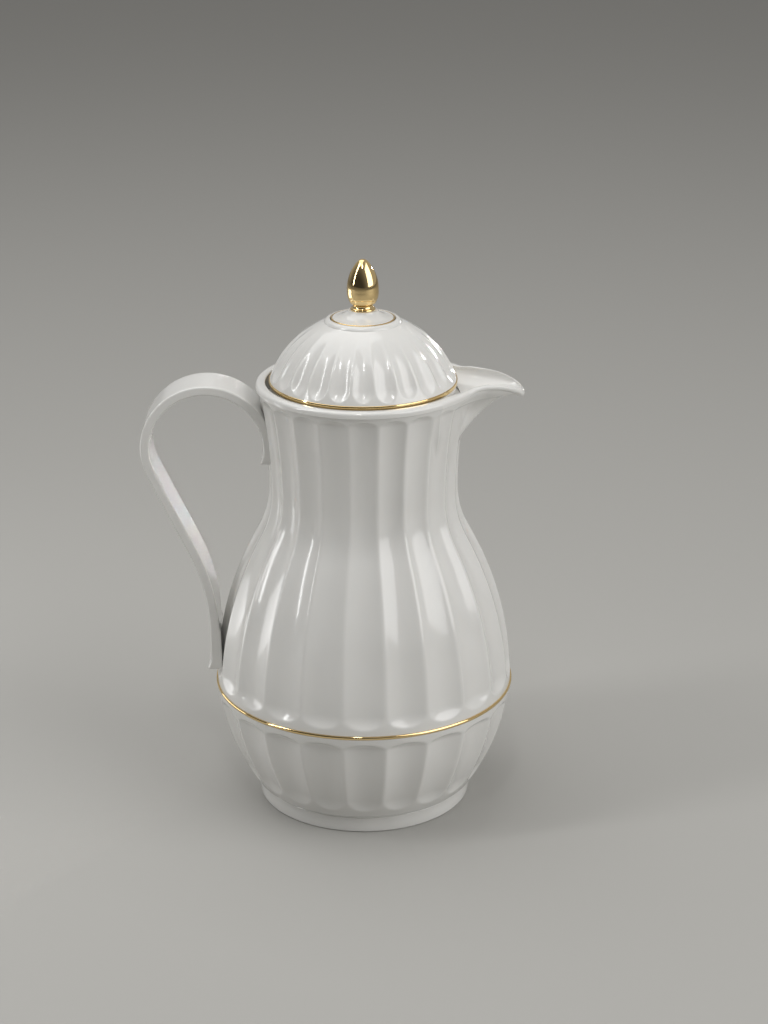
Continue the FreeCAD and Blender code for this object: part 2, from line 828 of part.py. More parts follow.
bowl_void = turned("bowl_void", [
    (0, floor_top),
    (foot_bore, floor_top),
    (bowl_point(bowl_void_start, 0 - skin_depth), bowl_void_start, S["bowl_curve"] - skin_depth),
    (bowl_point(S["bowl_height"] - S["flute_land"], 0 - skin_depth), S["bowl_height"] - S["flute_land"]),
    (spigot_radius - S["spigot_wall"], S["bowl_height"]),
    (spigot_radius - S["spigot_wall"], shell_foot + S["spigot_height"] * 2),
    (0, shell_foot + S["spigot_height"] * 2),
])


# Gold ring

body_ring = turned("body_ring", [
    (spigot_bore, S["bowl_height"]),
    (S["ring_radius"], S["bowl_height"], S["ring_crown"]),
    (S["ring_radius"], shell_foot),
    (spigot_bore, shell_foot),
])


# Handle: a strap cut from its side outline, fitted to the shell and held by two bosses. Its long leg is the
# tangent from the corner over the foot to the crown.

half_strap = derive("half_strap", S["strap_thickness"] / 2)
crown_x = derive("crown_x", 0 - S["crown_reach"])
foot_leg_x = derive("foot_leg_x", 0 - S["foot_leg_reach"])
leg_corner = derive("leg_corner_height", S["foot_leg_height"] + S["leg_corner_rise"])
leg_out = derive("leg_corner_to_crown_out", crown_x - foot_leg_x)
leg_up = derive("leg_corner_to_crown_up", S["crown_height"] - leg_corner)
leg_square = derive("leg_corner_to_crown_square", leg_out * leg_out + leg_up * leg_up)
leg_tangent = derive("leg_tangent", root(leg_square - S["crown_radius"] * S["crown_radius"]))
lean_across = derive("lean_across", (leg_up * leg_tangent + leg_out * S["crown_radius"]) / leg_square)
lean_up = derive("lean_up", (leg_up * S["crown_radius"] - leg_out * leg_tangent) / leg_square)
bend_level = derive("leg_bend_height", leg_corner - S["leg_bend"] * lean_up / (1 + lean_across))
bend_x = derive("leg_bend_x", foot_leg_x - S["leg_bend"])
head_x = derive("head_leg_x", 0 - S["head_leg_reach"])
flick_curve = derive(
    "flick_curve",
    (S["flick_length"] * S["flick_length"] + S["flick_out"] * S["flick_out"]) / (2 * S["flick_out"]),
)


def strap_side(offset):
    """Corners of one face of the strap from the foot leg over the crown, grown away from the finger gap."""
    crown = S["crown_radius"] + offset
    bend = S["leg_bend"] - offset
    return [
        (foot_leg_x - offset, bend_level),
        (bend_x + bend * lean_across, bend_level + bend * lean_up),
        (crown_x - crown * lean_across, S["crown_height"] - crown * lean_up),
        (crown_x, S["crown_height"] + crown),
        (crown_x + crown, S["crown_height"]),
    ]


def with_bends(points, bends):
    return [(*point, bend) if bend is not None else point for point, bend in zip(points, bends)]


outer_crown = S["crown_radius"] + half_strap
inner_crown = S["crown_radius"] - half_strap
outer_face = with_bends(
    strap_side(half_strap),
    [S["leg_bend"] - half_strap, None, 0 - outer_crown, 0 - outer_crown, None],
)
inner_face = with_bends(
    list(reversed(strap_side(0 - half_strap))),
    [inner_crown, inner_crown, None, 0 - (S["leg_bend"] + half_strap), None],
)
strap_body = doc.addObject("PartDesign::Body", "strap_body")
strap_outline = new_sketch(strap_body, "XZ_Plane", "strap_outline")
draw(strap_outline, [
    (foot_leg_x - half_strap - S["flick_out"], S["foot_leg_height"], flick_curve),
    (foot_leg_x - half_strap, S["foot_leg_height"] + S["flick_length"]),
    *outer_face,
    (head_x + half_strap, S["head_leg_height"]),
    (head_x - half_strap - S["flick_out"], S["head_leg_height"], flick_curve),
    (head_x - half_strap, S["head_leg_height"] + S["flick_length"]),
    *inner_face,
    (foot_leg_x + half_strap, S["foot_leg_height"]),
])
strap = strap_body.newObject("PartDesign::Pad", "strap")
strap.Profile = strap_outline
strap.SideType = "Symmetric"
strap.setExpression("Length", S["strap_width"].text)
strap_body.Tip = strap
doc.recompute()


def edges_on_sides(shape, half_width):
    """The edges that lie in the two flat sides of the strap."""
    found = []
    for edge in shape.Edges:
        box = edge.BoundBox
        if box.YLength < 0.001 and abs(abs(box.YMin) - half_width) < 0.001:
            found.append(edge)
    return found


side_edges = edges_on_sides(strap.Shape, S["strap_width"].value / 2)
strap_rounded = solid("strap_rounded", strap.Shape.makeFillet(S["strap_edge"].value, side_edges))
strap_fit = turned("strap_fit", [
    (0, shell_foot),
    *shell_side(shell_foot, rim_top, S["handle_gap"]),
    (0, rim_top),
])
boss_ends = {
    "low": derive("boss_end_low", S["foot_leg_reach"] + S["strap_thickness"] / 4),
    "high": derive("boss_end_high", S["head_leg_reach"] + S["strap_thickness"] / 4),
}
bosses = []
pilots = []
for name, level in boss_levels.items():
    face = boss_faces[name]
    boss_end = boss_ends[name]
    bosses.append(cross_hole(f"boss_{name}", S["handle_boss_radius"], boss_end, level, boss_end - face))
    pilot_length = S["screw_length"] + S["fit_gap"]
    pilots.append(
        cross_hole(
            f"pilot_{name}",
            S["screw_radius"] + S["fit_gap"],
            face + pilot_length,
            level,
            pilot_length + S["screw_head_height"],
        )
    )
strap_fitted = cut("strap_fitted", strap_rounded, strap_fit)
handle = cut("handle", fused("strap_with_bosses", [strap_fitted, *bosses]), fused("pilot_holes", pilots))


# Screws that hold the handle from inside

screws = []
for name, level in boss_levels.items():
    face = boss_faces[name] - S["fit_gap"]
    length = S["screw_length"]
    shank = cross_hole(f"screw_shank_{name}", S["screw_radius"], face + length, level, length)
    head = cross_hole(f"screw_head_{name}", S["screw_head_radius"], face, level, S["screw_head_height"])
    screws.append(fused(f"screw_{name}", [shank, head]))
handle_screws = doc.addObject("Part::Compound", "handle_screws")
handle_screws.Links = screws


# Glass flask: one bottle outline, drawn inwards for each wall

shoulder_drop = S["flask_radius"] - S["flask_neck_radius"]
shoulder_rise = S["flask_neck_start"] - S["flask_side_height"]
flask_curve = derive(
    "flask_curve", (shoulder_rise * shoulder_rise + shoulder_drop * shoulder_drop) / (4 * shoulder_drop)
)


def bottle_side(inset):
    """Corners and bends of the bottle from its foot to the start of its neck, drawn inwards by an inset."""
    share = (flask_curve - inset) / (2 * flask_curve)
    low_centre = S["flask_radius"] - flask_curve
    high_centre = S["flask_neck_radius"] + flask_curve
    corner = S["flask_corner"] - inset
    return [
        (S["flask_radius"] - S["flask_corner"], S["flask_foot_height"] + inset, corner),
        (S["flask_radius"] - inset, S["flask_foot_height"] + S["flask_corner"]),
        (S["flask_radius"] - inset, S["flask_side_height"], flask_curve - inset),
        (
            low_centre + (high_centre - low_centre) * share,
            S["flask_side_height"] + shoulder_rise * share,
            0 - (flask_curve + inset),
        ),
        (S["flask_neck_radius"] - inset, S["flask_neck_start"]),
    ]


def backwards(side):
    """The same side from its neck down, with each bend moved to its new first corner and turned over."""
    bends = [corner[2] if len(corner) > 2 else None for corner in side]
    turned_bends = [None if bend is None else 0 - bend for bend in reversed(bends[:-1])] + [None]
    points = [corner[:2] for corner in reversed(side)]
    return with_bends(points, turned_bends)


def flask_wall(label, inset, top, lip):
    inside = inset + S["flask_wall"]
    return turned(label, [
        (0, S["flask_foot_height"] + inset),
        *bottle_side(inset),
        *lip,
        (S["flask_neck_radius"] - inside, top),
        *backwards(bottle_side(inside)),
        (0, S["flask_foot_height"] + inside),
    ])


lip_foot = derive("flask_lip_foot", S["flask_mouth_height"] - S["flask_wall"])
outer_flask = flask_wall("outer_flask", as_size(0), lip_foot, [(S["flask_neck_radius"], lip_foot)])
inner_flask = flask_wall("inner_flask", inner_inset, S["flask_mouth_height"], [
    (S["flask_neck_radius"] - inner_inset, lip_foot),
    (S["flask_neck_radius"], lip_foot),
    (S["flask_neck_radius"], S["flask_mouth_height"]),
])


# Pads that keep the two glass walls apart

pads = []
for index in range(int(S["pad_count"].value)):
    pad = doc.addObject("Part::Cylinder", f"pad_{index}")
    pad.setExpression("Radius", S["pad_radius"].text)
    pad_length = S["flask_vacuum"] - S["fit_gap"] * 4
    pad.setExpression("Height", pad_length.text)
    pad_start = S["flask_radius"] - inner_inset + S["fit_gap"]
    spin = FreeCAD.Rotation(FreeCAD.Vector(0, 0, 1), 360 * index / S["pad_count"].value)
    place = spin.multVec(FreeCAD.Vector(pad_start.value, 0, S["pad_height"].value))
    pad.Placement = FreeCAD.Placement(
        place, spin.multiply(FreeCAD.Rotation(FreeCAD.Vector(0, 1, 0), 90))
    )
    pads.append(pad)
flask_pads = doc.addObject("Part::Compound", "flask_pads")
flask_pads.Links = pads


# Support under the flask

cup_radius = derive("cup_radius", S["cushion_radius"] + S["fit_gap"] + S["cup_wall"])
base_cushion = turned("base_cushion", [
    (0, cushion_foot),
    (S["cushion_radius"], cushion_foot),
    (S["cushion_radius"], S["flask_foot_height"]),
    (0, S["flask_foot_height"]),
])
support_cup = turned("support_cup", [
    (S["cushion_radius"] - S["cup_wall"], floor_top),
    (cup_radius + S["cup_wall"], floor_top),
    (cup_radius + S["cup_wall"], floor_top + S["cup_wall"]),
    (cup_radius, floor_top + S["cup_wall"]),
    (cup_radius, cushion_foot + S["cushion_lip"]),
    (cup_radius - S["cup_wall"], cushion_foot + S["cushion_lip"]),
    (cup_radius - S["cup_wall"], cushion_foot),
    (0, cushion_foot),
    (0, cushion_foot - S["cup_wall"]),
    (S["cushion_radius"] - S["cup_wall"], cushion_foot - S["cup_wall"]),
])


# Throat: gasket on the flask's mouth, and the collar that the lid screws into

neck_gasket = turned("neck_gasket", [
    (S["flask_neck_radius"] - S["gasket_width"], S["flask_mouth_height"]),
    (S["flask_neck_radius"], S["flask_mouth_height"]),
    (S["flask_neck_radius"], gasket_top),
    (S["flask_neck_radius"] - S["gasket_width"], gasket_top),
])
skirt_bore = derive("collar_skirt_bore", S["flask_neck_radius"] + S["slide_gap"])
skirt_radius = derive("collar_skirt_radius", skirt_bore + S["collar_wall"])
ledge_radius = derive("collar_ledge_radius", S["collar_bore_radius"] - S["collar_ledge"])
tube_radius = derive("collar_tube_radius", S["collar_bore_radius"] + S["collar_wall"])
throat_collar = turned("throat_collar", [
    (ledge_radius, gasket_top),
    (skirt_bore, gasket_top),
    (skirt_bore, gasket_top - S["collar_skirt"]),
    (skirt_radius, gasket_top - S["collar_skirt"]),
    (skirt_radius, collar_ledge_top),
    (tube_radius, collar_ledge_top + S["collar_wall"]),
    (tube_radius, collar_seat),
    (S["rim_bore_radius"] - S["fit_gap"], collar_seat),
    (S["rim_bore_radius"] - S["fit_gap"], collar_top),
    (S["collar_bore_radius"], collar_top),
    (S["collar_bore_radius"], collar_ledge_top),
    (ledge_radius, collar_ledge_top),
])


# Stopper gasket

seal_bore = derive("seal_bore_radius", S["nose_radius"] + S["slide_gap"])
stopper_gasket = turned("stopper_gasket", [
    (seal_bore, seal_foot),
    (seal_bore + S["seal_width"], seal_foot),
    (seal_bore + S["seal_width"], seal_foot + S["seal_thickness"]),
    (seal_bore, seal_foot + S["seal_thickness"]),
])


# Lid dome

dome_centre = derive(
    "dome_centre_height",
    (band_top + dome_top) / 2
    - (S["dome_radius"] * S["dome_radius"] - S["bezel_radius"] * S["bezel_radius"]) / (2 * S["dome_rise"]),
)
dome_drop = band_top - dome_centre
dome_curve = derive("dome_curve", root(S["dome_radius"] * S["dome_radius"] + dome_drop * dome_drop))
lid_skin_depth = derive("lid_skin_depth", S["lid_flute_depth"] + S["lid_wall"])


dome_low = math.acos(S["dome_radius"].value / dome_curve.value)
dome_high = math.acos(S["bezel_radius"].value / dome_curve.value)


def dome_wire(distance, depth, run_in):
    """Section of the dome at a distance along its curve from the band."""
    angle = dome_low + distance / dome_curve.value
    radius = dome_curve.value * math.cos(angle)
    count = int(S["lid_flute_count"].value)
    return flute_wire(
        dome_centre.value + dome_curve.value * math.sin(angle),
        radius,
        depth,
        flute_share(radius, count, run_in),
        count,
        math.pi / count,
    )


def dome_skin():
    """The lid's flutes have rounded ends over the band and die away towards the bezel."""
    land = S["lid_flute_land"].value
    run = S["lid_flute_run"].value
    length = (dome_high - dome_low) * dome_curve.value
    start = land + run
    end = length - S["lid_flute_fade"].value
    distances = [0.0, land / 2, land, land + run / 3, land + run * 2 / 3, start]
    distances += [start + (end - start) * (step + 1) / DOME_STEPS for step in range(DOME_STEPS)]
    wires = []
    for distance in [*distances, length]:
        run_in = (distance - land) / run
        fade = ease(run_in) * ease((end - distance) / (end - start))
        wires.append(dome_wire(distance, S["lid_flute_depth"].value * fade, run_in))
    return solid("dome_skin", Part.makeLoft(wires, True))


skirt_bore_radius = derive("lid_skirt_bore", S["lid_skirt_radius"] - S["lid_skirt_wall"])
band_bore = derive("band_bore_radius", S["band_radius"] - S["band_thickness"])
inner_dome = derive("inner_dome_curve", dome_curve - lid_skin_depth)
tube_outer = derive("button_tube_radius", S["button_bore_radius"] + S["button_tube_wall"])
tube_foot = derive("button_tube_foot", bezel_top - S["button_bore_depth"])
lid_core = turned("lid_core", [
    (0, skirt_foot),
    (S["lid_skirt_radius"], skirt_foot),
    (S["lid_skirt_radius"], band_foot),
    (band_bore - S["fit_gap"], band_foot),
    (band_bore - S["fit_gap"], band_top + S["fit_gap"]),
    (S["bezel_radius"], dome_top - S["bezel_height"]),
    (S["bezel_radius"], bezel_top - S["bezel_round"], S["bezel_round"]),
    (S["bezel_radius"] - S["bezel_round"], bezel_top),
    (0, bezel_top),
])
inner_low = root(inner_dome * inner_dome - skirt_bore_radius * skirt_bore_radius) + dome_centre
inner_high = root(inner_dome * inner_dome - tube_outer * tube_outer) + dome_centre
lid_void = turned("lid_void", [
    (0, skirt_foot - S["lid_wall"]),
    (skirt_bore_radius, skirt_foot - S["lid_wall"]),
    (skirt_bore_radius, inner_low, inner_dome),
    (tube_outer, inner_high),
    (tube_outer, tube_foot),
    (S["button_bore_radius"], tube_foot),
    (S["button_bore_radius"], bezel_top + S["lid_wall"]),
    (0, bezel_top + S["lid_wall"]),
])
lid_band = turned("lid_band", [
    (band_bore, band_foot),
    (S["band_radius"], band_foot, S["band_crown"]),
    (S["band_radius"], band_top),
    (band_bore, band_top),
])


# Stopper body with its pouring ports

plug_bore = derive("plug_bore_radius", S["plug_radius"] - S["plug_wall"])
nose_bore = derive("nose_bore_radius", S["nose_radius"] - S["nose_wall"])
guide_bore = derive("guide_bore_radius", S["stem_radius"] + S["slide_gap"])
guide_radius = derive("guide_radius", guide_bore + S["guide_wall"])
deck_radius = derive("deck_radius", skirt_bore_radius - S["fit_gap"])
nose_floor_top = derive("nose_floor_top", S["nose_foot_height"] + S["nose_floor"])
stopper_body = turned("stopper_body", [
    (guide_bore, deck_foot - S["guide_drop"]),
    (guide_radius, deck_foot - S["guide_drop"]),
    (guide_radius, deck_foot),
    (plug_bore, deck_foot),
    (plug_bore, S["plug_seat_height"] + S["plug_wall"]),
    (nose_bore, S["plug_seat_height"]),
    (nose_bore, nose_floor_top),
    (S["valve_hole_radius"], nose_floor_top),
    (S["valve_hole_radius"], S["nose_foot_height"]),
    (S["nose_radius"], S["nose_foot_height"]),
    (S["nose_radius"], S["plug_seat_height"]),
    (S["plug_radius"], S["plug_seat_height"]),
    (S["plug_radius"], deck_foot),
    (deck_radius, deck_foot),
    (deck_radius, deck_top),
    (guide_radius, deck_top),
    (guide_radius, deck_top + S["guide_rise"]),
    (guide_bore, deck_top + S["guide_rise"]),
])
port_sketch = new_sketch(stopper_body, "YZ_Plane", "port_outline")
half_port = S["port_width"] / 2
port_foot = deck_foot - S["port_height"]
draw(port_sketch, [
    (0 - half_port, port_foot),
    (half_port, port_foot),
    (half_port, deck_foot),
    (0 - half_port, deck_foot),
])
port_sketch.setExpression("AttachmentOffset.Base.z", plug_bore.text + " - " + S["plug_wall"].text)
port = stopper_body.newObject("PartDesign::Pocket", "port")
port.Profile = port_sketch
port_depth = S["plug_wall"] * 3
port.setExpression("Length", port_depth.text)
port.Reversed = True
stopper_body.Tip = port
doc.recompute()
ports = stopper_body.newObject("PartDesign::PolarPattern", "ports")
ports.Originals = [port]
ports.Axis = (port_sketch, ["V_Axis"])
ports.Angle = 360.0
ports.setExpression("Occurrences", S["port_count"].text)
stopper_body.Tip = ports
doc.recompute()


# Push button with its gold hairline

rebate = derive("button_rebate_radius", button_radius - S["button_ring_width"])
rebate_foot = derive("button_rebate_foot", button_edge - S["button_ring_height"])
button_foot = derive("button_foot_height", button_edge - S["button_skirt"])
button_roof = derive("button_roof_height", button_edge - S["button_top_wall"])
boss_foot = derive("button_boss_foot", button_edge - S["button_top_wall"] - S["button_boss_drop"])
stem_top = derive("stem_top_height", boss_foot + S["stem_grip"])
stud_foot = derive("finial_stud_foot", button_top - S["finial_stud_length"])
push_button = turned("push_button", [
    (S["stem_radius"] + S["fit_gap"], boss_foot),
    (S["button_boss_radius"], boss_foot),
    (S["button_boss_radius"], button_roof),
    (button_radius - S["button_wall"], button_roof),
    (button_radius - S["button_wall"], button_foot),
    (button_radius, button_foot),
    (button_radius, rebate_foot),
    (rebate, rebate_foot),
    (rebate, button_edge, 0 - S["button_hub_curve"]),
    (S["button_hub_radius"], button_top),
    (S["finial_stud_radius"] + S["fit_gap"], button_top),
    (S["finial_stud_radius"] + S["fit_gap"], stud_foot - S["fit_gap"]),
    (0, stud_foot - S["fit_gap"]),
    (0, stem_top + S["fit_gap"]),
    (S["stem_radius"] + S["fit_gap"], stem_top + S["fit_gap"]),
])
button_ring = turned("button_ring", [
    (rebate + S["fit_gap"], rebate_foot),
    (button_radius, rebate_foot),
    (button_radius, button_edge),
    (rebate + S["fit_gap"], button_edge),
])


# Finial

def finial_level(name):
    return button_top + S[name]


finial_cap_curve = derive(
    "finial_cap_curve",
    (S["finial_tip_radius"] * S["finial_tip_radius"] + S["finial_cap"] * S["finial_cap"]) / (2 * S["finial_cap"]),
)
finial = turned("finial", [
    (0, stud_foot),
    (S["finial_stud_radius"], stud_foot),
    (S["finial_stud_radius"], button_top),
    (S["finial_base_radius"], button_top),
    (S["finial_base_radius"], finial_level("finial_base_height"), 0 - S["finial_base_height"] * 2),
    (S["finial_waist_radius"], finial_level("finial_waist_height"), 0 - S["finial_base_height"] * 2),
    (S["finial_heel_radius"], finial_level("finial_heel_height"), S["finial_belly_height"]),
    (S["finial_radius"], finial_level("finial_belly_height"), S["finial_curve"]),
    (S["finial_tip_radius"], finial_level("finial_tip_height"), finial_cap_curve),
    (0, finial_level("finial_height")),
])


# Valve: stem, plug, seal and nut

valve_seat = derive("valve_seat_height", S["nose_foot_height"] - S["fit_gap"])
valve_top = derive("valve_top_height", valve_seat - S["valve_seal_thickness"])
valve_foot = derive("valve_foot_height", valve_top - S["valve_thickness"])
stem_fit = derive("stem_fit_radius", S["stem_radius"] + S["fit_gap"])
valve_stem = turned("valve_stem", [
    (0, valve_foot - S["stem_tail"]),
    (S["stem_radius"], valve_foot - S["stem_tail"]),
    (S["stem_radius"], stem_top),
    (0, stem_top),
])
valve_plug = turned("valve_plug", [
    (stem_fit, valve_foot),
    (S["valve_radius"] - S["valve_thickness"] / 2, valve_foot),
    (S["valve_radius"], valve_foot + S["valve_thickness"] / 2),
    (S["valve_radius"], valve_top),
    (stem_fit, valve_top),
])
valve_seal = turned("valve_seal", [
    (stem_fit, valve_top),
    (S["valve_radius"] - S["valve_seal_inset"], valve_top),
    (S["valve_radius"] - S["valve_seal_inset"], valve_seat),
    (stem_fit, valve_seat),
])
nut_prism = doc.addObject("Part::Prism", "nut_prism")
nut_prism.Polygon = 6
nut_prism.setExpression("Circumradius", f"{S['nut_width'].text} / 2 / cos(30)")
nut_prism.setExpression("Height", S["nut_thickness"].text)
nut_prism.setExpression("Placement.Base.z", f"{valve_foot.text} - {S['nut_thickness'].text}")
nut_bore = doc.addObject("Part::Cylinder", "nut_bore")
nut_bore.setExpression("Radius", stem_fit.text)
nut_bore.setExpression("Height", f"{S['nut_thickness'].text} * 2")
nut_bore.setExpression("Placement.Base.z", f"{valve_foot.text} - {S['nut_thickness'].text} * 1.5")
valve_nut = cut("valve_nut", nut_prism, nut_bore)


# Return spring of the button, wound from quarter turns between the deck and the button's roof

def wire_section(radius, centre, heading):
    """Eight-sided section of the wire, square to its heading."""
    place = FreeCAD.Placement(centre, FreeCAD.Rotation(FreeCAD.Vector(0, 0, 1), heading))
    corners = []
    for index in range(9):
        angle = index * math.pi / 4
        corners.append(place.multVec(FreeCAD.Vector(radius * math.cos(angle), radius * math.sin(angle), 0)))
    return Part.makePolygon(corners)


def spring_shape():
    wire = S["spring_wire_radius"].value
    radius = S["spring_radius"].value
    low = deck_top.value + wire + S["fit_gap"].value
    high = button_roof.value - wire - S["fit_gap"].value
    quarters = int(S["spring_turns"].value) * 4

    def point(share):
        angle = share * quarters * math.pi / 2
        return FreeCAD.Vector(radius * math.cos(angle), radius * math.sin(angle), low + (high - low) * share)

    arcs = []
    for index in range(quarters):
        shares = [(index + step) / quarters for step in (0, 0.5, 1)]
        arcs.append(Part.Arc(*[point(share) for share in shares]).toShape())
    heading = point(0.5 / quarters) - point(0)
    section = wire_section(wire, point(0), heading)
    pitch = (high - low) / S["spring_turns"].value
    print(f"spring: gap between turns {pitch - 2 * wire:.2f} mm")
    return Part.Wire(arcs).makePipeShell([section], True, False)


button_spring = solid("button_spring", spring_shape())


# Fluted pieces, put together last because each recompute of them is slow

shell_blank = fused("shell_blank", [shell_skin, rim_ring, spout_outer])
shell_hollow = cut("shell_hollow", shell_blank, shell_void)
shell_pouring = cut("shell_pouring", shell_hollow, spout_channel)
upper_shell = cut("upper_shell", shell_pouring, fused("shell_holes", shell_holes))
base_bowl = cut("base_bowl", fused("bowl_blank", [bowl_skin, base_core]), bowl_void)
lid_dome = cut("lid_dome", fused("lid_blank", [dome_skin(), lid_core]), lid_void)


NODES = [
    upper_shell, base_bowl, body_ring, handle, handle_screws, outer_flask, inner_flask, flask_pads,
    base_cushion, support_cup, neck_gasket, throat_collar, stopper_gasket, lid_dome, lid_band, stopper_body,
    button_spring, push_button, button_ring, finial, valve_stem, valve_plug, valve_seal, valve_nut,
]
doc.recompute()
for item in doc.Objects:
    if "Invalid" in item.State or "Error" in item.State:
        raise RuntimeError(f"{item.Label} failed: {item.State}")
for node in NODES:
    if node.Shape.isNull() or not node.Shape.isValid():
        raise RuntimeError(f"{node.Label} has no sound shape")
    print(f"{node.Label}: {len(node.Shape.Solids)} solid, {node.Shape.Volume / 1000:.2f} cm3")
os.makedirs("parts", exist_ok=True)
for node in NODES:
    node.Shape.exportStep(f"parts/{node.Label}.step")
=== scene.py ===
"""Looks of the insulated dallah jug: fluted skins, soft edges, threads, materials, light and camera.

Shapes are worked out in millimetres in the frame of the solids, with the spout towards +X.
"""

import json
import math

import bmesh
import bpy
import numpy as np
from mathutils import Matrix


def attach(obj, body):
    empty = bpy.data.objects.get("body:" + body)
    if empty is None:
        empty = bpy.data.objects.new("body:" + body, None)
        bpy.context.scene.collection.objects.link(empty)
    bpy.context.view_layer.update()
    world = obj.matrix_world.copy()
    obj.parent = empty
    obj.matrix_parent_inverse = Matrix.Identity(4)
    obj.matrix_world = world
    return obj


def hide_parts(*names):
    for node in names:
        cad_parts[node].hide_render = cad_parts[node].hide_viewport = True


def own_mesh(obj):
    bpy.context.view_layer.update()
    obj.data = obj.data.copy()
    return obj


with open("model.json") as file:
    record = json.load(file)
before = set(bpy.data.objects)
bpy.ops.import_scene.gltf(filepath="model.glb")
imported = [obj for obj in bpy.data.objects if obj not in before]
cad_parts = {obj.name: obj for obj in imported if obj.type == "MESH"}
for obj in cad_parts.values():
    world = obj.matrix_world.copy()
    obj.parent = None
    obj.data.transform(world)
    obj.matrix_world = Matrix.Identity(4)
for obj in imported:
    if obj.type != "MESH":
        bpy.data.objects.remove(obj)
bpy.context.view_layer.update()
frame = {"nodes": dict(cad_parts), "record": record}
MM = 0.001

# Base
FOOT_RADIUS = 53.0
FOOT_HEIGHT = 8.0
FOOT_BORE = 49.0
FOOT_RECESS = 4.0
FOOT_BREAK = 0.4
FOOT_ROUND = 1.0
FOOT_SHOULDER_IN = 0.2
FOOT_SHOULDER_DROP = 0.7
FOOT_SHOULDER_CURVE = 0.6
FLOOR_TOP = 6.6
BOWL_FOOT = (55.6, 10.2)
BOWL_TOP = (74.0, 60.7)
BOWL_CURVE = 115.0
BOWL_LOW_ZONE = 22.0
BOWL_HIGH_ZONE = 50.0
BOWL_CAVITY = (13.2, 57.7)
COVE_STEP = 0.3
COVE_GAP = (0.05, 0.1)
COVE_CURVE = 4.4
SPIGOT_RADIUS = 70.9
SPIGOT_TOP = 66.1
SPIGOT_WALL = 2.0
SPIGOT_CLEARANCE = 0.3
SKIN_DEPTH = 4.8
SKIN_CREASE = 38.0

# Shell
SHELL_FOOT = 62.3
SHELL_BORE = 71.0
RIM_TOP = 216.3
NECK_LEVEL = 163.4
BELLY_RADIUS = 73.4
NECK_RADIUS = 46.0
BELLY_CURVE = 165.0
SHOULDER_CURVE = 45.0
FLARE_CURVE = 252.0
RIM_BORE = 46.9
RIM_ROLL = 1.7
INNER_ROLL = 0.7
ROLL_SHARE = 0.48
RIM_BEAD = 0.3
RIM_FOOT = 213.1
RIM_RADIUS = 51.3
ROOT_REACH = 7.0
COLLAR_SEAT = 206.1
COLLAR_TOP = 208.3

# Flutes
FLUTE_COUNT = 22
FLUTE_DEPTH = 2.4
FLUTE_LAND = 3.0
FLUTE_FOOT_RUN = 6.0
FLUTE_HEAD_RUN = 3.4
FLUTE_FOOT_ZONE = 76.0
FLUTE_FOOT_STEP = 0.6
BOWL_FLUTE_LAND = 4.0
BOWL_FLUTE_RUN = 7.0
ARRIS_WIDTH = 1.0
ARRIS_SOFTNESS = 0.09

# Spout
SPOUT_ROOT = 35.5
SPOUT_ROOT_HALF = 35.2
SPOUT_CREST = 59.0
SPOUT_CREST_HALF = 14.5
SPOUT_KEEL_HALF = 9.0
SPOUT_FLARE_FOOT = 208.5
SPOUT_FLARE = 4.6
SPOUT_TIP = 77.6
SPOUT_SECTOR = 0.85
LIP_RISE = 1.4
TIP_DROP = 5.9
KEEL_LOW = 176.8
KEEL_HIGH = 210.2
KEEL_TIP = 74.6
KEEL_BEND = 1.7
UNDER_LIP = 1.0
LIP_BAND = 2.4
TIP_BAND = 3.4
LIP_BEAD_ROUND = 0.9
LIP_WALL = 2.0
CHANNEL_RISE = 3.6
CHANNEL_LEAST_HALF = 0.1
SPOUT_BLEND = 5.0
LEAST_BLEND = 0.01
ROOT_FALL = 30.0
WIDEST_RAY = 1.2
RAY_HALVINGS = 40
FADE_HALF_ANGLE = 0.32
FADE_RISE = 24.0
SPOUT_SINK = 4.0
FLANK_SOFTNESS = 120.0

# Handle
STRAP_HALF_WIDTH = 12.0
STRAP_HALF = 2.2
STRAP_EDGE = 0.9
STRAP_CREASE = 45.0
INSET_SHARE = 0.6
CORNER_STEPS = 6
FACE_STEPS = 10
END_TURNS = (75, 60, 45, 30, 15)
CROWN = (-75.44, 184.8)
CROWN_RADIUS = 29.6
LEG_CORNER = (-73.81, 112.0)
LEG_BEND = 100.0
FOOT_LEG_X = -73.81
FOOT_LEG_END = 69.5
HEAD_LEG_END = 177.2
FLICK_OUT = 1.8
FLICK_LENGTH = 6.5
HANDLE_GAP = 0.2
FOOT_SEAT = 1.2
FOOT_SEAT_RISE = 40.0

# Lid, with the places of its flutes as shares of the way from the band to the bezel
LID_FLUTE_COUNT = 24
LID_FLUTE_DEPTH = 1.6
LID_FLUTE_START = 0.03
LID_FLUTE_RUN = 0.16
LID_CLOSE_ROWS = 0.25
LID_FADE_END = 0.92
LID_FADE_RUN = 0.74
SKIRT_RADIUS = 44.6
SKIRT_BORE = 41.6
SKIRT_FOOT = 212.4
SKIRT_BREAK = 0.4
GROOVE_CLEARANCE = 0.1
TRIM_GAP = 0.05
DOME_RADIUS = 44.8
DOME_TOP = 245.4
DOME_EDGE = 0.5
DOME_WALL = 2.2
BEZEL_RADIUS = 18.5
BEZEL_TOP = 247.35
BEZEL_INNER = 16.1
BEZEL_ROUND = 3.0
BEZEL_EDGE = 0.5

# Gold trim
RING_RADIUS = 73.9
RING_BULGE = 1.0
BAND_FOOT = 215.4
BAND_TOP = 217.4
BAND_RADIUS = 45.4
BAND_BORE = 43.9
BAND_EDGE_IN = 0.15
BAND_EDGE_UP = 0.1
BAND_BULGE = 3.0
HAIRLINE_WIDTH = 0.6
HAIRLINE_HEIGHT = 0.8
HAIRLINE_EDGE = 0.15
HAIRLINE_CURVE = 0.5
TRIM_SEGMENTS = 288

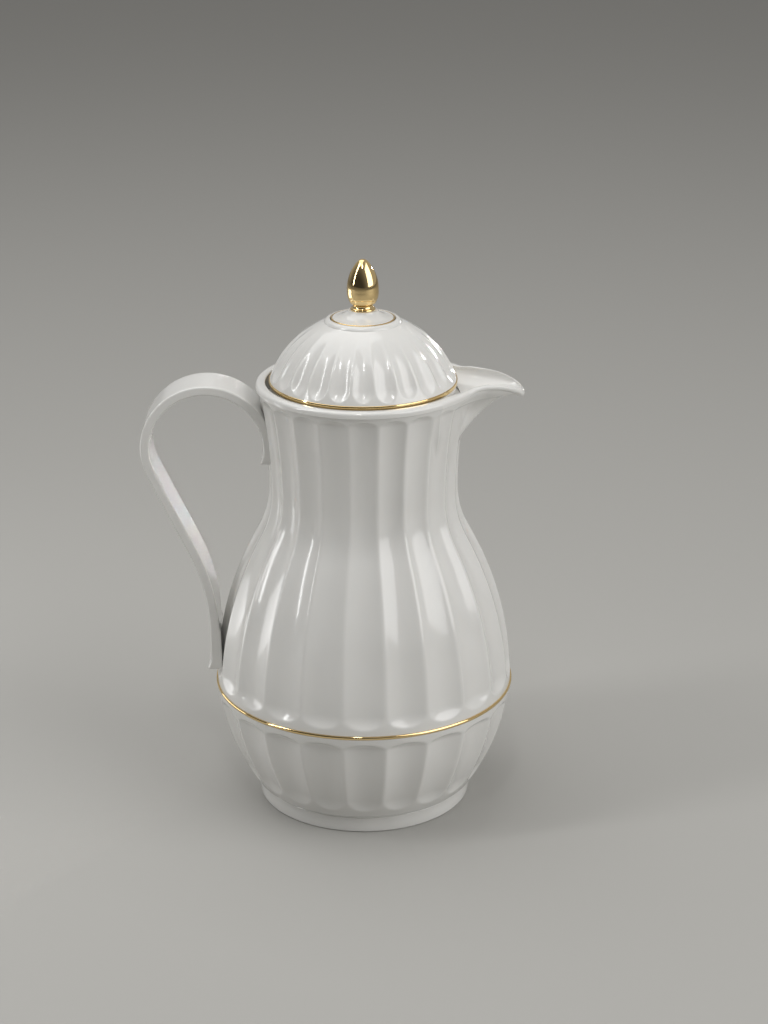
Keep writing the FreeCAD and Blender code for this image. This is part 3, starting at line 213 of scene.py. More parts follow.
# Button
BUTTON_BORE = 15.6
BUTTON_TUBE = 17.4
BUTTON_BORE_FOOT = 237.0
BUTTON_RADIUS = 15.3
BUTTON_EDGE = 247.5
BUTTON_TOP = 251.2
BUTTON_REBATE = 0.7
BUTTON_WALL = 1.8
BUTTON_ROOF = 3.2
BUTTON_SKIRT = 9.6
BUTTON_LIP = 0.1
BUTTON_LIP_RISE = 0.12
BUTTON_LIP_ROUND = 0.3
BUTTON_SCOOP = 9.0
BUTTON_CREASE = 35.0
HUB_RADIUS = 7.2
HUB_FLAT = 0.3
HUB_FOOT = 0.1
HUB_ROUND = 0.4
BOSS_RADIUS = 5.0
BOSS_DEPTH = 16.2
STEM_HOLE = 2.6
STEM_HOLE_DEPTH = 8.6
PEG_HOLE = 2.5
PEG_HOLE_DEPTH = 7.1

# Finial, with the radius, rise above the button, bend and steps of each arc, from its foot upwards
PEG_RADIUS = 2.4
PEG_DEPTH = 7.0
FINIAL_GAP = 0.02
FINIAL_FOOT = 5.8
FINIAL_ARCS = (
    (6.0, 0.2, 0.2, 3),
    (5.85, 0.9, 0.9, 6),
    (4.85, 2.1, -1.8, 8),
    (6.05, 3.45, -1.8, 8),
    (6.35, 3.9, 0.6, 4),
    (7.6, 9.6, 10.0, 14),
    (2.6, 23.3, 20.0, 26),
)
FINIAL_TOP = 275.8
FINIAL_TIP_CURVE = 3.25
FINIAL_CREASE = 50.0

# Spring under the button
SPRING_WIRE = 0.6
SPRING_RADIUS = 8.4
SPRING_TURNS = 8
SPRING_SEAT = 214.8
SPRING_ROOF = 244.3
SPRING_GAP = 0.1
SPRING_END = 0.06
SPRING_EASE = 0.12

# Thread between stopper and collar, with the root and crest radius of each
THREAD_LEAD = 30.0
THREAD_STARTS = 4
THREAD_LOW = 197.0
THREAD_HIGH = 206.6
THREAD_HALF = 1.2
THREAD_FLAT = 0.45
THREAD_RUN_IN = 0.08
THREAD_LEAST = 0.02
THREAD_CREASE = 30.0
STOPPER_THREAD = (24.2, 26.2)
COLLAR_THREAD = (26.6, 25.9)

# Shading, grain and gloss of the materials
SOLID_CREASE = 30.0
GLOSS_SCALE = 2.3
GRAIN_DETAIL = 2.0
GRAIN_DEPTH = 0.00005
STREAK_SCALE = 900.0
STREAK_STRETCH = (1.0, 1.0, 0.05)
STREAK_DEPTH = 0.00004

# Stage, light and camera, in metres
FLOOR_HALF = 6.0
FLOOR_COLOUR = (0.41, 0.403, 0.382, 1.0)
FLOOR_ROUGHNESS = 0.75
ROOM_COLOUR = (0.80, 0.79, 0.77, 1.0)
ROOM_BRIGHT_SIDE = (0.60, 0.72, 0.35)
ROOM_SPAN = (-0.8, 0.5)
ROOM_STRENGTH = (0.05, 0.48)
JUG_MIDDLE = (0.0, 0.0, 0.14)
BELLY_MIDDLE = (0.0, 0.0, 0.10)
HANDLE_MIDDLE = (-0.09, 0.0, 0.15)
CAMERA_PLACE = (0.0, -1.043, 0.545)
CAMERA_DIP = 20.82
CAMERA_TURN = -0.55
CAMERA_LENS = 80.0
CAMERA_SENSOR = 36.0


# Curves in the (radius, height) plane

def bow(start, end, bend, steps=10):
    """Points along an arc, after its start. It bulges right of its chord, or left where bend is negative."""
    start = np.array(start, float)
    end = np.array(end, float)
    chord = end - start
    length = np.linalg.norm(chord)
    right = np.array([chord[1], -chord[0]]) / length
    depth = math.sqrt(max(0.0, bend ** 2 - length ** 2 / 4))
    centre = (start + end) / 2 - right * math.copysign(depth, bend)
    first = math.atan2(*(start - centre)[::-1])
    last = math.atan2(*(end - centre)[::-1])
    sweep = (last - first + math.pi) % (2 * math.pi) - math.pi
    angles = first + sweep * np.arange(1, steps + 1) / steps
    return [tuple(centre + abs(bend) * np.array([math.cos(a), math.sin(a)])) for a in angles]


def zoned(*zones):
    """A column of numbers through zones of (first, last, count), without repeats where two zones meet."""
    parts = [np.linspace(*zones[0])]
    parts += [np.linspace(*zone)[1:] for zone in zones[1:]]
    return np.concatenate(parts)[:, None]


def ease(share):
    """A smooth step from 0 to 1."""
    share = np.clip(share, 0.0, 1.0)
    return share * share * (3 - 2 * share)


# Meshes

def grid_faces(rows, columns, close_rows):
    """Quads of a grid whose last column joins its first, and whose last row may join its first too."""
    row = np.arange(rows if close_rows else rows - 1)
    index, column = np.meshgrid(row, np.arange(columns), indexing="ij")
    here = index * columns
    above = (index + 1) % rows * columns
    beside = (column + 1) % columns
    corners = [here + column, here + beside, above + beside, above + column]
    return np.stack(corners, axis=-1).reshape(-1, 4)


def capped_faces(rows, columns, first=0):
    """Faces of a tube of rings with both ends closed. Its points are numbered from first."""
    faces = (grid_faces(rows, columns, False) + first).tolist()
    last_ring = first + (rows - 1) * columns
    faces.append(list(range(first, first + columns)))
    faces.append(list(range(last_ring, last_ring + columns)))
    return faces


def finish_mesh(mesh, crease):
    """Join points that fall together, turn the faces outwards and shade them, sharp only at creases."""
    work = bmesh.new()
    work.from_mesh(mesh)
    bmesh.ops.remove_doubles(work, verts=work.verts, dist=1e-6)
    bmesh.ops.dissolve_degenerate(work, edges=work.edges, dist=1e-7)
    bmesh.ops.recalc_face_normals(work, faces=work.faces)
    work.to_mesh(mesh)
    work.free()
    mesh.shade_smooth()
    mesh.set_sharp_from_angle(angle=math.radians(crease))


def add_piece(name, points, faces, finish, body, node=None, crease=40.0):
    """A mesh from points in millimetres, in its material, that rides on a body and may stand for a node."""
    mesh = bpy.data.meshes.new(name)
    mesh.from_pydata((np.asarray(points) * MM).tolist(), [], faces)
    finish_mesh(mesh, crease)
    mesh.materials.append(MATERIALS[finish])
    piece = bpy.data.objects.new(name, mesh)
    bpy.context.scene.collection.objects.link(piece)
    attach(piece, body)
    if node is not None:
        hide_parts(node)
    return piece


def add_grid(name, grid, finish, body, node=None, close_rows=True, crease=40.0):
    """A piece from a grid of points."""
    rows, columns = grid.shape[:2]
    faces = grid_faces(rows, columns, close_rows).tolist()
    return add_piece(name, grid.reshape(-1, 3), faces, finish, body, node, crease)


def around(radius, height, angles):
    """A grid of points from radii and heights of the same shape, one column for each angle."""
    radius, height, angles = np.broadcast_arrays(radius, height, angles)
    return np.stack([radius * np.cos(angles), radius * np.sin(angles), height], axis=-1)


def add_turned(name, outline, finish, body, node=None, close_rows=True, segments=144, crease=40.0):
    """An outline of (radius, height) points turned about the jug's axis."""
    outline = np.array(outline, float)
    angles = np.arange(segments) * 2 * math.pi / segments
    grid = around(outline[:, :1], outline[:, 1:], angles[None, :])
    return add_grid(name, grid, finish, body, node, close_rows, crease)


# Materials

def new_material(name):
    """A material with one principled shader, and that shader."""
    material = bpy.data.materials.new(name)
    material.use_nodes = True
    nodes = material.node_tree.nodes
    nodes.clear()
    output = nodes.new("ShaderNodeOutputMaterial")
    shader = nodes.new("ShaderNodeBsdfPrincipled")
    material.node_tree.links.new(shader.outputs["BSDF"], output.inputs["Surface"])
    return material, shader


def noise(material, scale, detail=3.0, stretch=(1.0, 1.0, 1.0)):
    """Noise in the object's own space, with its size given in patterns for each metre."""
    nodes = material.node_tree.nodes
    links = material.node_tree.links
    place = nodes.new("ShaderNodeTexCoord")
    mapping = nodes.new("ShaderNodeMapping")
    mapping.inputs["Scale"].default_value = stretch
    texture = nodes.new("ShaderNodeTexNoise")
    texture.inputs["Scale"].default_value = scale
    texture.inputs["Detail"].default_value = detail
    links.new(place.outputs["Object"], mapping.inputs["Vector"])
    links.new(mapping.outputs["Vector"], texture.inputs["Vector"])
    return texture.outputs["Fac"]


def ramp(material, factor, low, high, start=0.3, end=0.7):
    """Two colours mixed by a factor."""
    node = material.node_tree.nodes.new("ShaderNodeValToRGB")
    node.color_ramp.elements[0].position = start
    node.color_ramp.elements[0].color = (*low, 1.0)
    node.color_ramp.elements[1].position = end
    node.color_ramp.elements[1].color = (*high, 1.0)
    material.node_tree.links.new(factor, node.inputs["Fac"])
    return node.outputs["Color"]


def spread(material, factor, low, high):
    """A number that runs from low to high with a factor."""
    node = material.node_tree.nodes.new("ShaderNodeMapRange")
    node.inputs["To Min"].default_value = low
    node.inputs["To Max"].default_value = high
    material.node_tree.links.new(factor, node.inputs["Value"])
    return node.outputs["Result"]


def bumped(material, shader, height, strength, distance):
    """Raise the shader's surface by a height, up to a distance in metres."""
    node = material.node_tree.nodes.new("ShaderNodeBump")
    node.inputs["Strength"].default_value = strength
    node.inputs["Distance"].default_value = distance
    material.node_tree.links.new(height, node.inputs["Height"])
    material.node_tree.links.new(node.outputs["Normal"], shader.inputs["Normal"])


def varied(name, low, high, roughness, colour_scale, grain_scale, grain, settings):
    """A material whose colour and gloss drift slightly, with a fine grain and the shader's other settings."""
    material, shader = new_material(name)
    links = material.node_tree.links
    drift = noise(material, colour_scale)
    links.new(ramp(material, drift, low, high), shader.inputs["Base Color"])
    gloss = noise(material, colour_scale * GLOSS_SCALE)
    links.new(spread(material, gloss, *roughness), shader.inputs["Roughness"])
    bumped(material, shader, noise(material, grain_scale, GRAIN_DETAIL), grain, GRAIN_DEPTH)
    for setting, value in settings.items():
        shader.inputs[setting].default_value = value
    return material


def white_plastic():
    """Gloss moulded plastic with the faint unevenness of a polished mould under a clear skin."""
    return varied(
        "white_plastic",
        low=(0.70, 0.693, 0.668),
        high=(0.75, 0.743, 0.718),
        roughness=(0.15, 0.24),
        colour_scale=18.0,
        grain_scale=260.0,
        grain=0.05,
        settings={
            "IOR": 1.5,
            "Coat Weight": 0.55,
            "Coat Roughness": 0.05,
            "Subsurface Weight": 0.08,
            "Subsurface Radius": (0.004, 0.0035, 0.003),
        },
    )


def gold_trim():
    """Mirror gold plating, a touch uneven where it follows the moulding under it."""
    return varied(
        "gold_trim",
        low=(0.82, 0.60, 0.28),
        high=(0.89, 0.68, 0.35),
        roughness=(0.04, 0.10),
        colour_scale=60.0,
        grain_scale=420.0,
        grain=0.06,
        settings={"Metallic": 1.0},
    )


def silvered_glass():
    """Glass that is silvered on its hidden side."""
    return varied(
        "silvered_glass",
        low=(0.80, 0.82, 0.83),
        high=(0.86, 0.88, 0.88),
        roughness=(0.03, 0.07),
        colour_scale=30.0,
        grain_scale=90.0,
        grain=0.05,
        settings={"Metallic": 0.85, "Coat Weight": 1.0, "Coat Roughness": 0.02},
    )


def grey_rubber():
    """Dull silicone rubber."""
    return varied(
        "grey_rubber",
        low=(0.50, 0.50, 0.48),
        high=(0.58, 0.58, 0.56),
        roughness=(0.50, 0.65),
        colour_scale=70.0,
        grain_scale=1500.0,
        grain=0.25,
        settings={},
    )


def inner_plastic():
    """Satin plastic of the inner pieces."""
    return varied(
        "inner_plastic",
        low=(0.68, 0.67, 0.64),
        high=(0.73, 0.72, 0.69),
        roughness=(0.34, 0.46),
        colour_scale=40.0,
        grain_scale=1400.0,
        grain=0.18,
        settings={"IOR": 1.5},
    )


def pad_felt():
    """Coarse felt with a soft sheen."""
    return varied(
        "pad_felt",
        low=(0.30, 0.28, 0.25),
        high=(0.44, 0.41, 0.37),
        roughness=(0.85, 0.95),
        colour_scale=900.0,
        grain_scale=2600.0,
        grain=0.8,
        settings={"Sheen Weight": 0.4},
    )


def steel():
    """Drawn steel, streaked along its length."""
    material, shader = new_material("steel")
    links = material.node_tree.links
    streaks = noise(material, STREAK_SCALE, stretch=STREAK_STRETCH)
    colour = ramp(material, streaks, (0.50, 0.50, 0.51), (0.64, 0.64, 0.65))
    links.new(colour, shader.inputs["Base Color"])
    links.new(spread(material, streaks, 0.22, 0.38), shader.inputs["Roughness"])
    shader.inputs["Metallic"].default_value = 1.0
    bumped(material, shader, streaks, 0.15, STREAK_DEPTH)
    return material


MATERIALS = {
    maker.__name__: maker()
    for maker in (white_plastic, gold_trim, silvered_glass, grey_rubber, inner_plastic, pad_felt, steel)
}


# Profiles of the body

def arc_side(centre, curve, height):
    """Radius at a height of the outer side of an arc."""
    return centre[0] + np.sqrt(np.maximum(0.0, curve ** 2 - (height - centre[1]) ** 2))


def belly_centre():
    """Centre of the belly arc, which touches the shoulder arc."""
    out = NECK_RADIUS + SHOULDER_CURVE - BELLY_RADIUS
    up = NECK_LEVEL - SHELL_FOOT
    reach = math.hypot(out, up)
    along = (BELLY_CURVE ** 2 + reach ** 2 - (BELLY_CURVE + SHOULDER_CURVE) ** 2) / (2 * reach)
    aside = math.sqrt(BELLY_CURVE ** 2 - along ** 2)
    return (
        BELLY_RADIUS + (along * out - aside * up) / reach,
        SHELL_FOOT + (along * up + aside * out) / reach,
    )


BELLY_CENTRE = belly_centre()
BELLY_SHARE = BELLY_CURVE / (BELLY_CURVE + SHOULDER_CURVE)
TURNING_LEVEL = BELLY_CENTRE[1] + (NECK_LEVEL - BELLY_CENTRE[1]) * BELLY_SHARE


def shell_radius(height):
    """Radius of the shell at a height, without its flutes."""
    rise = height - NECK_LEVEL
    belly = arc_side(BELLY_CENTRE, BELLY_CURVE, height)
    shoulder = NECK_RADIUS + SHOULDER_CURVE - np.sqrt(np.maximum(0.0, SHOULDER_CURVE ** 2 - rise ** 2))
    flare = NECK_RADIUS + FLARE_CURVE - np.sqrt(FLARE_CURVE ** 2 - rise ** 2)
    return np.where(height < TURNING_LEVEL, belly, np.where(height < NECK_LEVEL, shoulder, flare))


def bowl_centre():
    """Centre of the arc of the bowl's side."""
    low = np.array(BOWL_FOOT)
    high = np.array(BOWL_TOP)
    chord = high - low
    length = np.linalg.norm(chord)
    right = np.array([chord[1], -chord[0]]) / length
    return tuple((low + high) / 2 - right * math.sqrt(BOWL_CURVE ** 2 - length ** 2 / 4))


BOWL_CENTRE = bowl_centre()


def bowl_radius(height):
    """Radius of the bowl at a height, without its flutes."""
    return arc_side(BOWL_CENTRE, BOWL_CURVE, height)


# Flutes

def hollow(angles, count, first, share, end):
    """How deep a flute is, from 0 on an arris to 1 along its middle. End is 0 to 1 in its rounded ends."""
    turn = (angles - first) * count / (2 * math.pi)
    across = 2 * (turn - np.floor(turn)) - 1
    fill = 1 - (across / share) ** 2 - end ** 2
    return (fill + np.sqrt(fill ** 2 + ARRIS_SOFTNESS ** 2)) / 2


def flute_end(height, low, low_run, high, high_run):
    """Zero between the ends of a flute, and 1 at its tips."""
    past_low = (low + low_run - height) / low_run
    past_high = (height - high + high_run) / high_run
    return np.maximum(0.0, np.maximum(past_low, past_high))


def fluted(radius, height, angles, ends):
    """Radius of a fluted body. The flutes keep their proportions where it is slim."""
    share = 1 - ARRIS_WIDTH * FLUTE_COUNT / (2 * math.pi * radius)
    depth = FLUTE_DEPTH * radius / BELLY_RADIUS
    return radius - depth * hollow(angles, FLUTE_COUNT, 0.0, share, flute_end(height, *ends))


SHELL_FLUTE_ENDS = (SHELL_FOOT + FLUTE_LAND, FLUTE_FOOT_RUN, RIM_FOOT - FLUTE_LAND / 2, FLUTE_HEAD_RUN)
BOWL_FLUTE_FOOT = BOWL_FOOT[1] + BOWL_FLUTE_LAND
BOWL_FLUTE_ENDS = (BOWL_FLUTE_FOOT, BOWL_FLUTE_RUN, BOWL_TOP[1] - FLUTE_LAND, FLUTE_HEAD_RUN)


# Spout

def spout_half_width(reach, nose, crest, crest_half, root_half):
    """Half the width of a slice of the spout at a reach: a blunt beak that flares towards its root."""
    beak = crest_half / np.sqrt(nose - crest)
    flare = (root_half - beak * np.sqrt(nose - SPOUT_ROOT)) / (crest - SPOUT_ROOT) ** 1.5
    return beak * np.sqrt(np.maximum(0.0, nose - reach)) + flare * np.maximum(0.0, crest - reach) ** 1.5


def keel_share(height):
    """How far a height is up the keel, from 0 to 1."""
    return np.clip((height - KEEL_LOW) / (KEEL_HIGH - KEEL_LOW), 0.0, 1.0)


def slice_sizes(height):
    """Nose, crest and half widths of the spout's slice at a height."""
    share = keel_share(height) ** KEEL_BEND
    nose = KEEL_TIP - (KEEL_TIP - NECK_RADIUS) * (1 - share) ** (1 / KEEL_BEND)
    neck = shell_radius(height)
    crest = SPOUT_ROOT + (nose - SPOUT_ROOT) * (SPOUT_CREST - SPOUT_ROOT) / (KEEL_TIP - SPOUT_ROOT)
    inside_neck = neck ** 2 - crest ** 2
    neck_half = np.sqrt((inside_neck + np.hypot(inside_neck, FLANK_SOFTNESS)) / 2)
    root_on_neck = np.sqrt(np.maximum(0.0, neck ** 2 - SPOUT_ROOT ** 2)) - LIP_WALL / 2
    flare = ease((height - SPOUT_FLARE_FOOT) / SPOUT_FLARE)
    half = SPOUT_KEEL_HALF + (SPOUT_CREST_HALF - UNDER_LIP - SPOUT_KEEL_HALF) * flare
    crest_half = neck_half + (half - neck_half) * share
    root_half = root_on_neck + (SPOUT_ROOT_HALF - root_on_neck) * share
    return nose, crest, crest_half, root_half


def ray_radius(angles, sizes):
    """Radius at which a ray from the jug's axis leaves a slice of the spout, found by halving.

    Beside the root of the slice it falls back steadily.
    """
    near = np.clip(np.abs(angles), 0.0, WIDEST_RAY)
    slope = np.tan(near)
    shape = np.broadcast(sizes[0], slope).shape
    low = np.full(shape, SPOUT_ROOT)
    high = np.broadcast_to(sizes[0], shape)
    root_half = spout_half_width(low, *sizes)
    root_angle = np.arctan2(root_half, SPOUT_ROOT)
    beside = np.hypot(root_half, SPOUT_ROOT) - ROOT_FALL * (np.abs(angles) - root_angle)
    for _ in range(RAY_HALVINGS):
        middle = (low + high) / 2
        inside = spout_half_width(middle, *sizes) > middle * slope
        low = np.where(inside, middle, low)
        high = np.where(inside, high, middle)
    return np.where(np.abs(angles) > root_angle, beside, low / np.cos(near))


def spout_lip(reach):
    """Height of the spout's lip at a reach: level at its crest, lower at the root and at the tip."""
    top = RIM_TOP + LIP_RISE
    behind = top - LIP_RISE * np.minimum(1.0, (SPOUT_CREST - reach) / (SPOUT_CREST - SPOUT_ROOT)) ** 2
    ahead = top - TIP_DROP * ((reach - SPOUT_CREST) / (SPOUT_TIP - SPOUT_CREST)) ** 2
    return np.where(reach < SPOUT_CREST, behind, ahead)


LIP_SIZES = (SPOUT_TIP, SPOUT_CREST, SPOUT_CREST_HALF, SPOUT_ROOT_HALF)
CHANNEL_NOSE = SPOUT_TIP - LIP_WALL
CHANNEL_SIZES = (CHANNEL_NOSE, SPOUT_CREST, SPOUT_CREST_HALF - LIP_WALL, SPOUT_ROOT_HALF - 3 * LIP_WALL)


def channel_surface(radius, angles):
    """Height of the pouring channel's half-oval floor."""
    reach = radius * np.cos(angles)
    half = np.maximum(CHANNEL_LEAST_HALF, spout_half_width(reach, *CHANNEL_SIZES))
    share = (reach - SPOUT_ROOT) / (SPOUT_TIP - SPOUT_ROOT)
    floor = COLLAR_TOP + CHANNEL_RISE * share ** 2
    side = np.clip(np.abs(radius * np.sin(angles)) / half, 0.0, 1.0)
    top = spout_lip(reach)
    return top - (top - floor) * np.sqrt(1 - side ** 2)


def smooth_larger(first, second, width):
    """The larger of two numbers, with a fillet where they cross."""
    share = np.clip(0.5 + 0.5 * (first - second) / width, 0.0, 1.0)
    return second + (first - second) * share + width * share * (1 - share)


def shell_outside(height, angles):
    """Radius of the shell with its flutes, which fade under the spout, and the spout blended in."""
    plain = shell_radius(height)
    body = fluted(plain, height, angles, SHELL_FLUTE_ENDS)
    beside_spout = ease((np.abs(angles) - FADE_HALF_ANGLE) / FADE_HALF_ANGLE)
    grown = ease((height - KEEL_LOW) / FADE_RISE)
    body = body + (plain - body) * grown * (1 - beside_spout)
    spout = ray_radius(angles, slice_sizes(height)) - SPOUT_SINK * (1 - grown)
    spout = np.where(height > KEEL_LOW, spout, 0.0)
    return smooth_larger(body, spout, LEAST_BLEND + SPOUT_BLEND * keel_share(height))


def shell_angles():
    """Columns round the shell, closer together across the spout, from minus to plus half a turn."""
    spout = np.linspace(-SPOUT_SECTOR, SPOUT_SECTOR, 281)
    rest = np.linspace(SPOUT_SECTOR, 2 * math.pi - SPOUT_SECTOR, 331)[1:-1]
    angles = np.concatenate([spout, rest])[None, :]
    return np.where(angles > math.pi, angles - 2 * math.pi, angles)


def build_upper_shell():
    """Rows run up the outside, over the rim and the lip, down the pouring channel and the inside."""
    angles = shell_angles()
    ring = np.ones_like(angles)
    radius = []
    height = []

    def add(new_radius, new_height):
        new_radius, new_height = np.broadcast_arrays(new_radius, new_height)
        radius.append(new_radius)
        height.append(new_height)

    foot = np.arange(SHELL_FOOT, FLUTE_FOOT_ZONE, FLUTE_FOOT_STEP)
    belly = np.linspace(FLUTE_FOOT_ZONE, KEEL_LOW, 45)
    keel = KEEL_LOW + (KEEL_HIGH - KEEL_LOW) * np.sin(np.linspace(0, math.pi / 2, 34)[1:])
    level = np.concatenate([foot, belly, keel])[:, None]
    add(shell_outside(level, angles), level)

    lip = smooth_larger(RIM_RADIUS, ray_radius(angles, LIP_SIZES), SPOUT_BLEND)
    on_spout = ease((lip - RIM_RADIUS) / ROOT_REACH)
    edge_out = lip + RIM_BEAD * (1 - on_spout)
    edge_in = np.maximum(RIM_BORE, ray_radius(angles, CHANNEL_SIZES))
    lip_out = RIM_TOP + (spout_lip(edge_out * np.cos(angles)) - RIM_TOP) * ease(on_spout)
    lip_in = RIM_TOP + (spout_lip(edge_in * np.cos(angles)) - RIM_TOP) * ease(on_spout)
    thickest_roll = ROLL_SHARE * (edge_out - edge_in)
    roll = np.minimum(RIM_ROLL, thickest_roll)
    inner_roll = np.minimum(INNER_ROLL, thickest_roll)

    at_tip = ease((edge_out - KEEL_TIP) / (SPOUT_TIP - KEEL_TIP))
    spout_band = LIP_BAND + (TIP_BAND - LIP_BAND) * at_tip
    band_foot = lip_out - (RIM_TOP - RIM_FOOT) * (1 - on_spout) - spout_band * on_spout
    bead_round = RIM_BEAD * (1 - on_spout) + LIP_BEAD_ROUND * on_spout
    share = np.linspace(0, 1, 15)[1:, None]
    under_band = shell_outside(KEEL_HIGH + share * (RIM_FOOT - KEEL_HIGH), angles)
    add(under_band, KEEL_HIGH + share * (band_foot - KEEL_HIGH))
    turn = np.linspace(0, math.pi / 2, 9)[1:, None]
    add(edge_out - bead_round * (1 - np.sin(turn)), band_foot + bead_round * (1 - np.cos(turn)))
    add(edge_out - roll * (1 - np.cos(turn)), lip_out - roll * (1 - np.sin(turn)))
    add(edge_in + inner_roll * (1 - np.sin(turn)), lip_in - inner_roll * (1 - np.cos(turn)))

    share = np.linspace(0, 1, 21)[1:, None] ** 1.5
    floor_radius = edge_in + (RIM_BORE - edge_in) * share
    add(floor_radius, np.minimum(lip_in - inner_roll, channel_surface(floor_radius, angles)))
    last = height[-1][-1:]
    drop = np.linspace(0, 1, 4)[1:, None]
    add(RIM_BORE, last + (COLLAR_SEAT - last) * drop)
    spigot_seat = SPIGOT_TOP + SPIGOT_CLEARANCE
    inside = np.linspace(COLLAR_SEAT, spigot_seat, 10)[:, None]
    add((shell_radius(inside) - SKIN_DEPTH) * ring, inside)
    add(SHELL_BORE * ring, spigot_seat)
    add(SHELL_BORE * ring, SHELL_FOOT)
    grid = around(np.concatenate(radius), np.concatenate(height), angles)
    add_grid("shell_skin", grid, "white_plastic", "pot", "upper_shell", crease=SKIN_CREASE)


def build_base():
    """Rows run out under the foot, up the fluted bowl, over the spigot and down the inside."""
    angles = np.linspace(0, 2 * math.pi, 529)[None, :-1]
    side = zoned(
        (BOWL_FOOT[1], BOWL_LOW_ZONE, 22),
        (BOWL_LOW_ZONE, BOWL_HIGH_ZONE, 26),
        (BOWL_HIGH_ZONE, BOWL_TOP[1], 24),
    )
    skin = fluted(bowl_radius(side), side, angles, BOWL_FLUTE_ENDS)

    lower = [(0.0, FOOT_RECESS), (FOOT_BORE, FOOT_RECESS), (FOOT_BORE, FOOT_BREAK)]
    lower += [(FOOT_BORE + FOOT_BREAK, 0.0), (FOOT_RADIUS - FOOT_ROUND, 0.0)]
    lower += bow(lower[-1], (FOOT_RADIUS, FOOT_ROUND), FOOT_ROUND, 6)
    lower += [(FOOT_RADIUS, FOOT_HEIGHT / 2), (FOOT_RADIUS, FOOT_HEIGHT - FOOT_SHOULDER_DROP)]
    lower += bow(lower[-1], (FOOT_RADIUS - FOOT_SHOULDER_IN, FOOT_HEIGHT), FOOT_SHOULDER_CURVE, 4)
    cove_end = (BOWL_FOOT[0] - COVE_GAP[0], BOWL_FOOT[1] - COVE_GAP[1])
    lower += bow((FOOT_RADIUS + COVE_STEP, FOOT_HEIGHT), cove_end, -COVE_CURVE, 8)

    bore = SPIGOT_RADIUS - SPIGOT_WALL
    upper = [(SPIGOT_RADIUS, BOWL_TOP[1]), (SPIGOT_RADIUS, SPIGOT_TOP)]
    upper += [(bore, SPIGOT_TOP), (bore, BOWL_TOP[1])]
    for level in np.linspace(*BOWL_CAVITY, 14)[::-1]:
        upper.append((float(bowl_radius(level)) - SKIN_DEPTH, level))
    upper += [(FOOT_BORE, FLOOR_TOP), (0.0, FLOOR_TOP)]

    lower = np.array(lower)
    upper = np.array(upper)
    ring = np.ones_like(angles)
    radius = np.concatenate([lower[:, :1] * ring, skin, upper[:, :1] * ring])
    height = np.concatenate([lower[:, 1:] * ring, side * ring, upper[:, 1:] * ring])
    grid = around(radius, height, angles)
    add_grid("base_skin", grid, "white_plastic", "pot", "base_bowl", close_rows=False, crease=SKIN_CREASE)


# Lid

DOME_RISE = DOME_TOP - BAND_TOP
DOME_CENTRE = (BAND_TOP + DOME_TOP) / 2 - (DOME_RADIUS ** 2 - BEZEL_RADIUS ** 2) / (2 * DOME_RISE)
DOME_CURVE = math.hypot(DOME_RADIUS, BAND_TOP - DOME_CENTRE)


def build_lid():
    """The lid's flutes have rounded ends over the band and die away towards the bezel."""
    angles = np.linspace(0, 2 * math.pi, 577)[None, :-1]
    low = math.acos(DOME_RADIUS / DOME_CURVE)
    high = math.acos(BEZEL_RADIUS / DOME_CURVE)
    share = zoned((0.0, LID_CLOSE_ROWS, 26), (LID_CLOSE_ROWS, 1.0, 44))
    tilt = low + (high - low) * share
    radius = DOME_CURVE * np.cos(tilt)
    width = 1 - ARRIS_WIDTH * LID_FLUTE_COUNT / (2 * math.pi * radius)
    end = np.maximum(0.0, (LID_FLUTE_START + LID_FLUTE_RUN - share) / LID_FLUTE_RUN)
    scoop = hollow(angles, LID_FLUTE_COUNT, math.pi / LID_FLUTE_COUNT, width, end)
    sphere = DOME_CURVE - LID_FLUTE_DEPTH * scoop * ease((LID_FADE_END - share) / LID_FADE_RUN)
    skin_radius = sphere * np.cos(tilt)
    skin_height = DOME_CENTRE + sphere * np.sin(tilt)

    groove = BAND_BORE - GROOVE_CLEARANCE
    below = np.array([
        (SKIRT_BORE, SKIRT_FOOT),
        (SKIRT_RADIUS - SKIRT_BREAK, SKIRT_FOOT),
        (SKIRT_RADIUS, SKIRT_FOOT + SKIRT_BREAK),
        (SKIRT_RADIUS, BAND_FOOT),
        (groove, BAND_FOOT),
        (groove, BAND_TOP + TRIM_GAP),
        (DOME_RADIUS - DOME_EDGE, BAND_TOP + TRIM_GAP),
    ])
    bezel = bow((BEZEL_RADIUS, DOME_TOP), (BEZEL_INNER, BEZEL_TOP), BEZEL_ROUND, 12)
    bezel += bow(bezel[-1], (BUTTON_BORE, BEZEL_TOP - BEZEL_EDGE), BEZEL_EDGE, 5)
    bezel += [(BUTTON_BORE, BUTTON_BORE_FOOT), (BUTTON_TUBE, BUTTON_BORE_FOOT)]
    inner_curve = DOME_CURVE - LID_FLUTE_DEPTH - DOME_WALL
    inner_high = math.acos(BUTTON_TUBE / inner_curve)
    inner_low = math.acos(SKIRT_BORE / inner_curve)
    inside = [
        (inner_curve * math.cos(tilt), DOME_CENTRE + inner_curve * math.sin(tilt))
        for tilt in np.linspace(inner_high, inner_low, 16)
    ]
    above = np.array(bezel + inside)
    ring = np.ones_like(angles)
    radius = np.concatenate([below[:, :1] * ring, skin_radius, above[:, :1] * ring])
    height = np.concatenate([below[:, 1:] * ring, skin_height, above[:, 1:] * ring])
    grid = around(radius, height, angles)
    add_grid("lid_skin", grid, "white_plastic", "lid", "lid_dome", crease=SKIN_CREASE)


# Handle

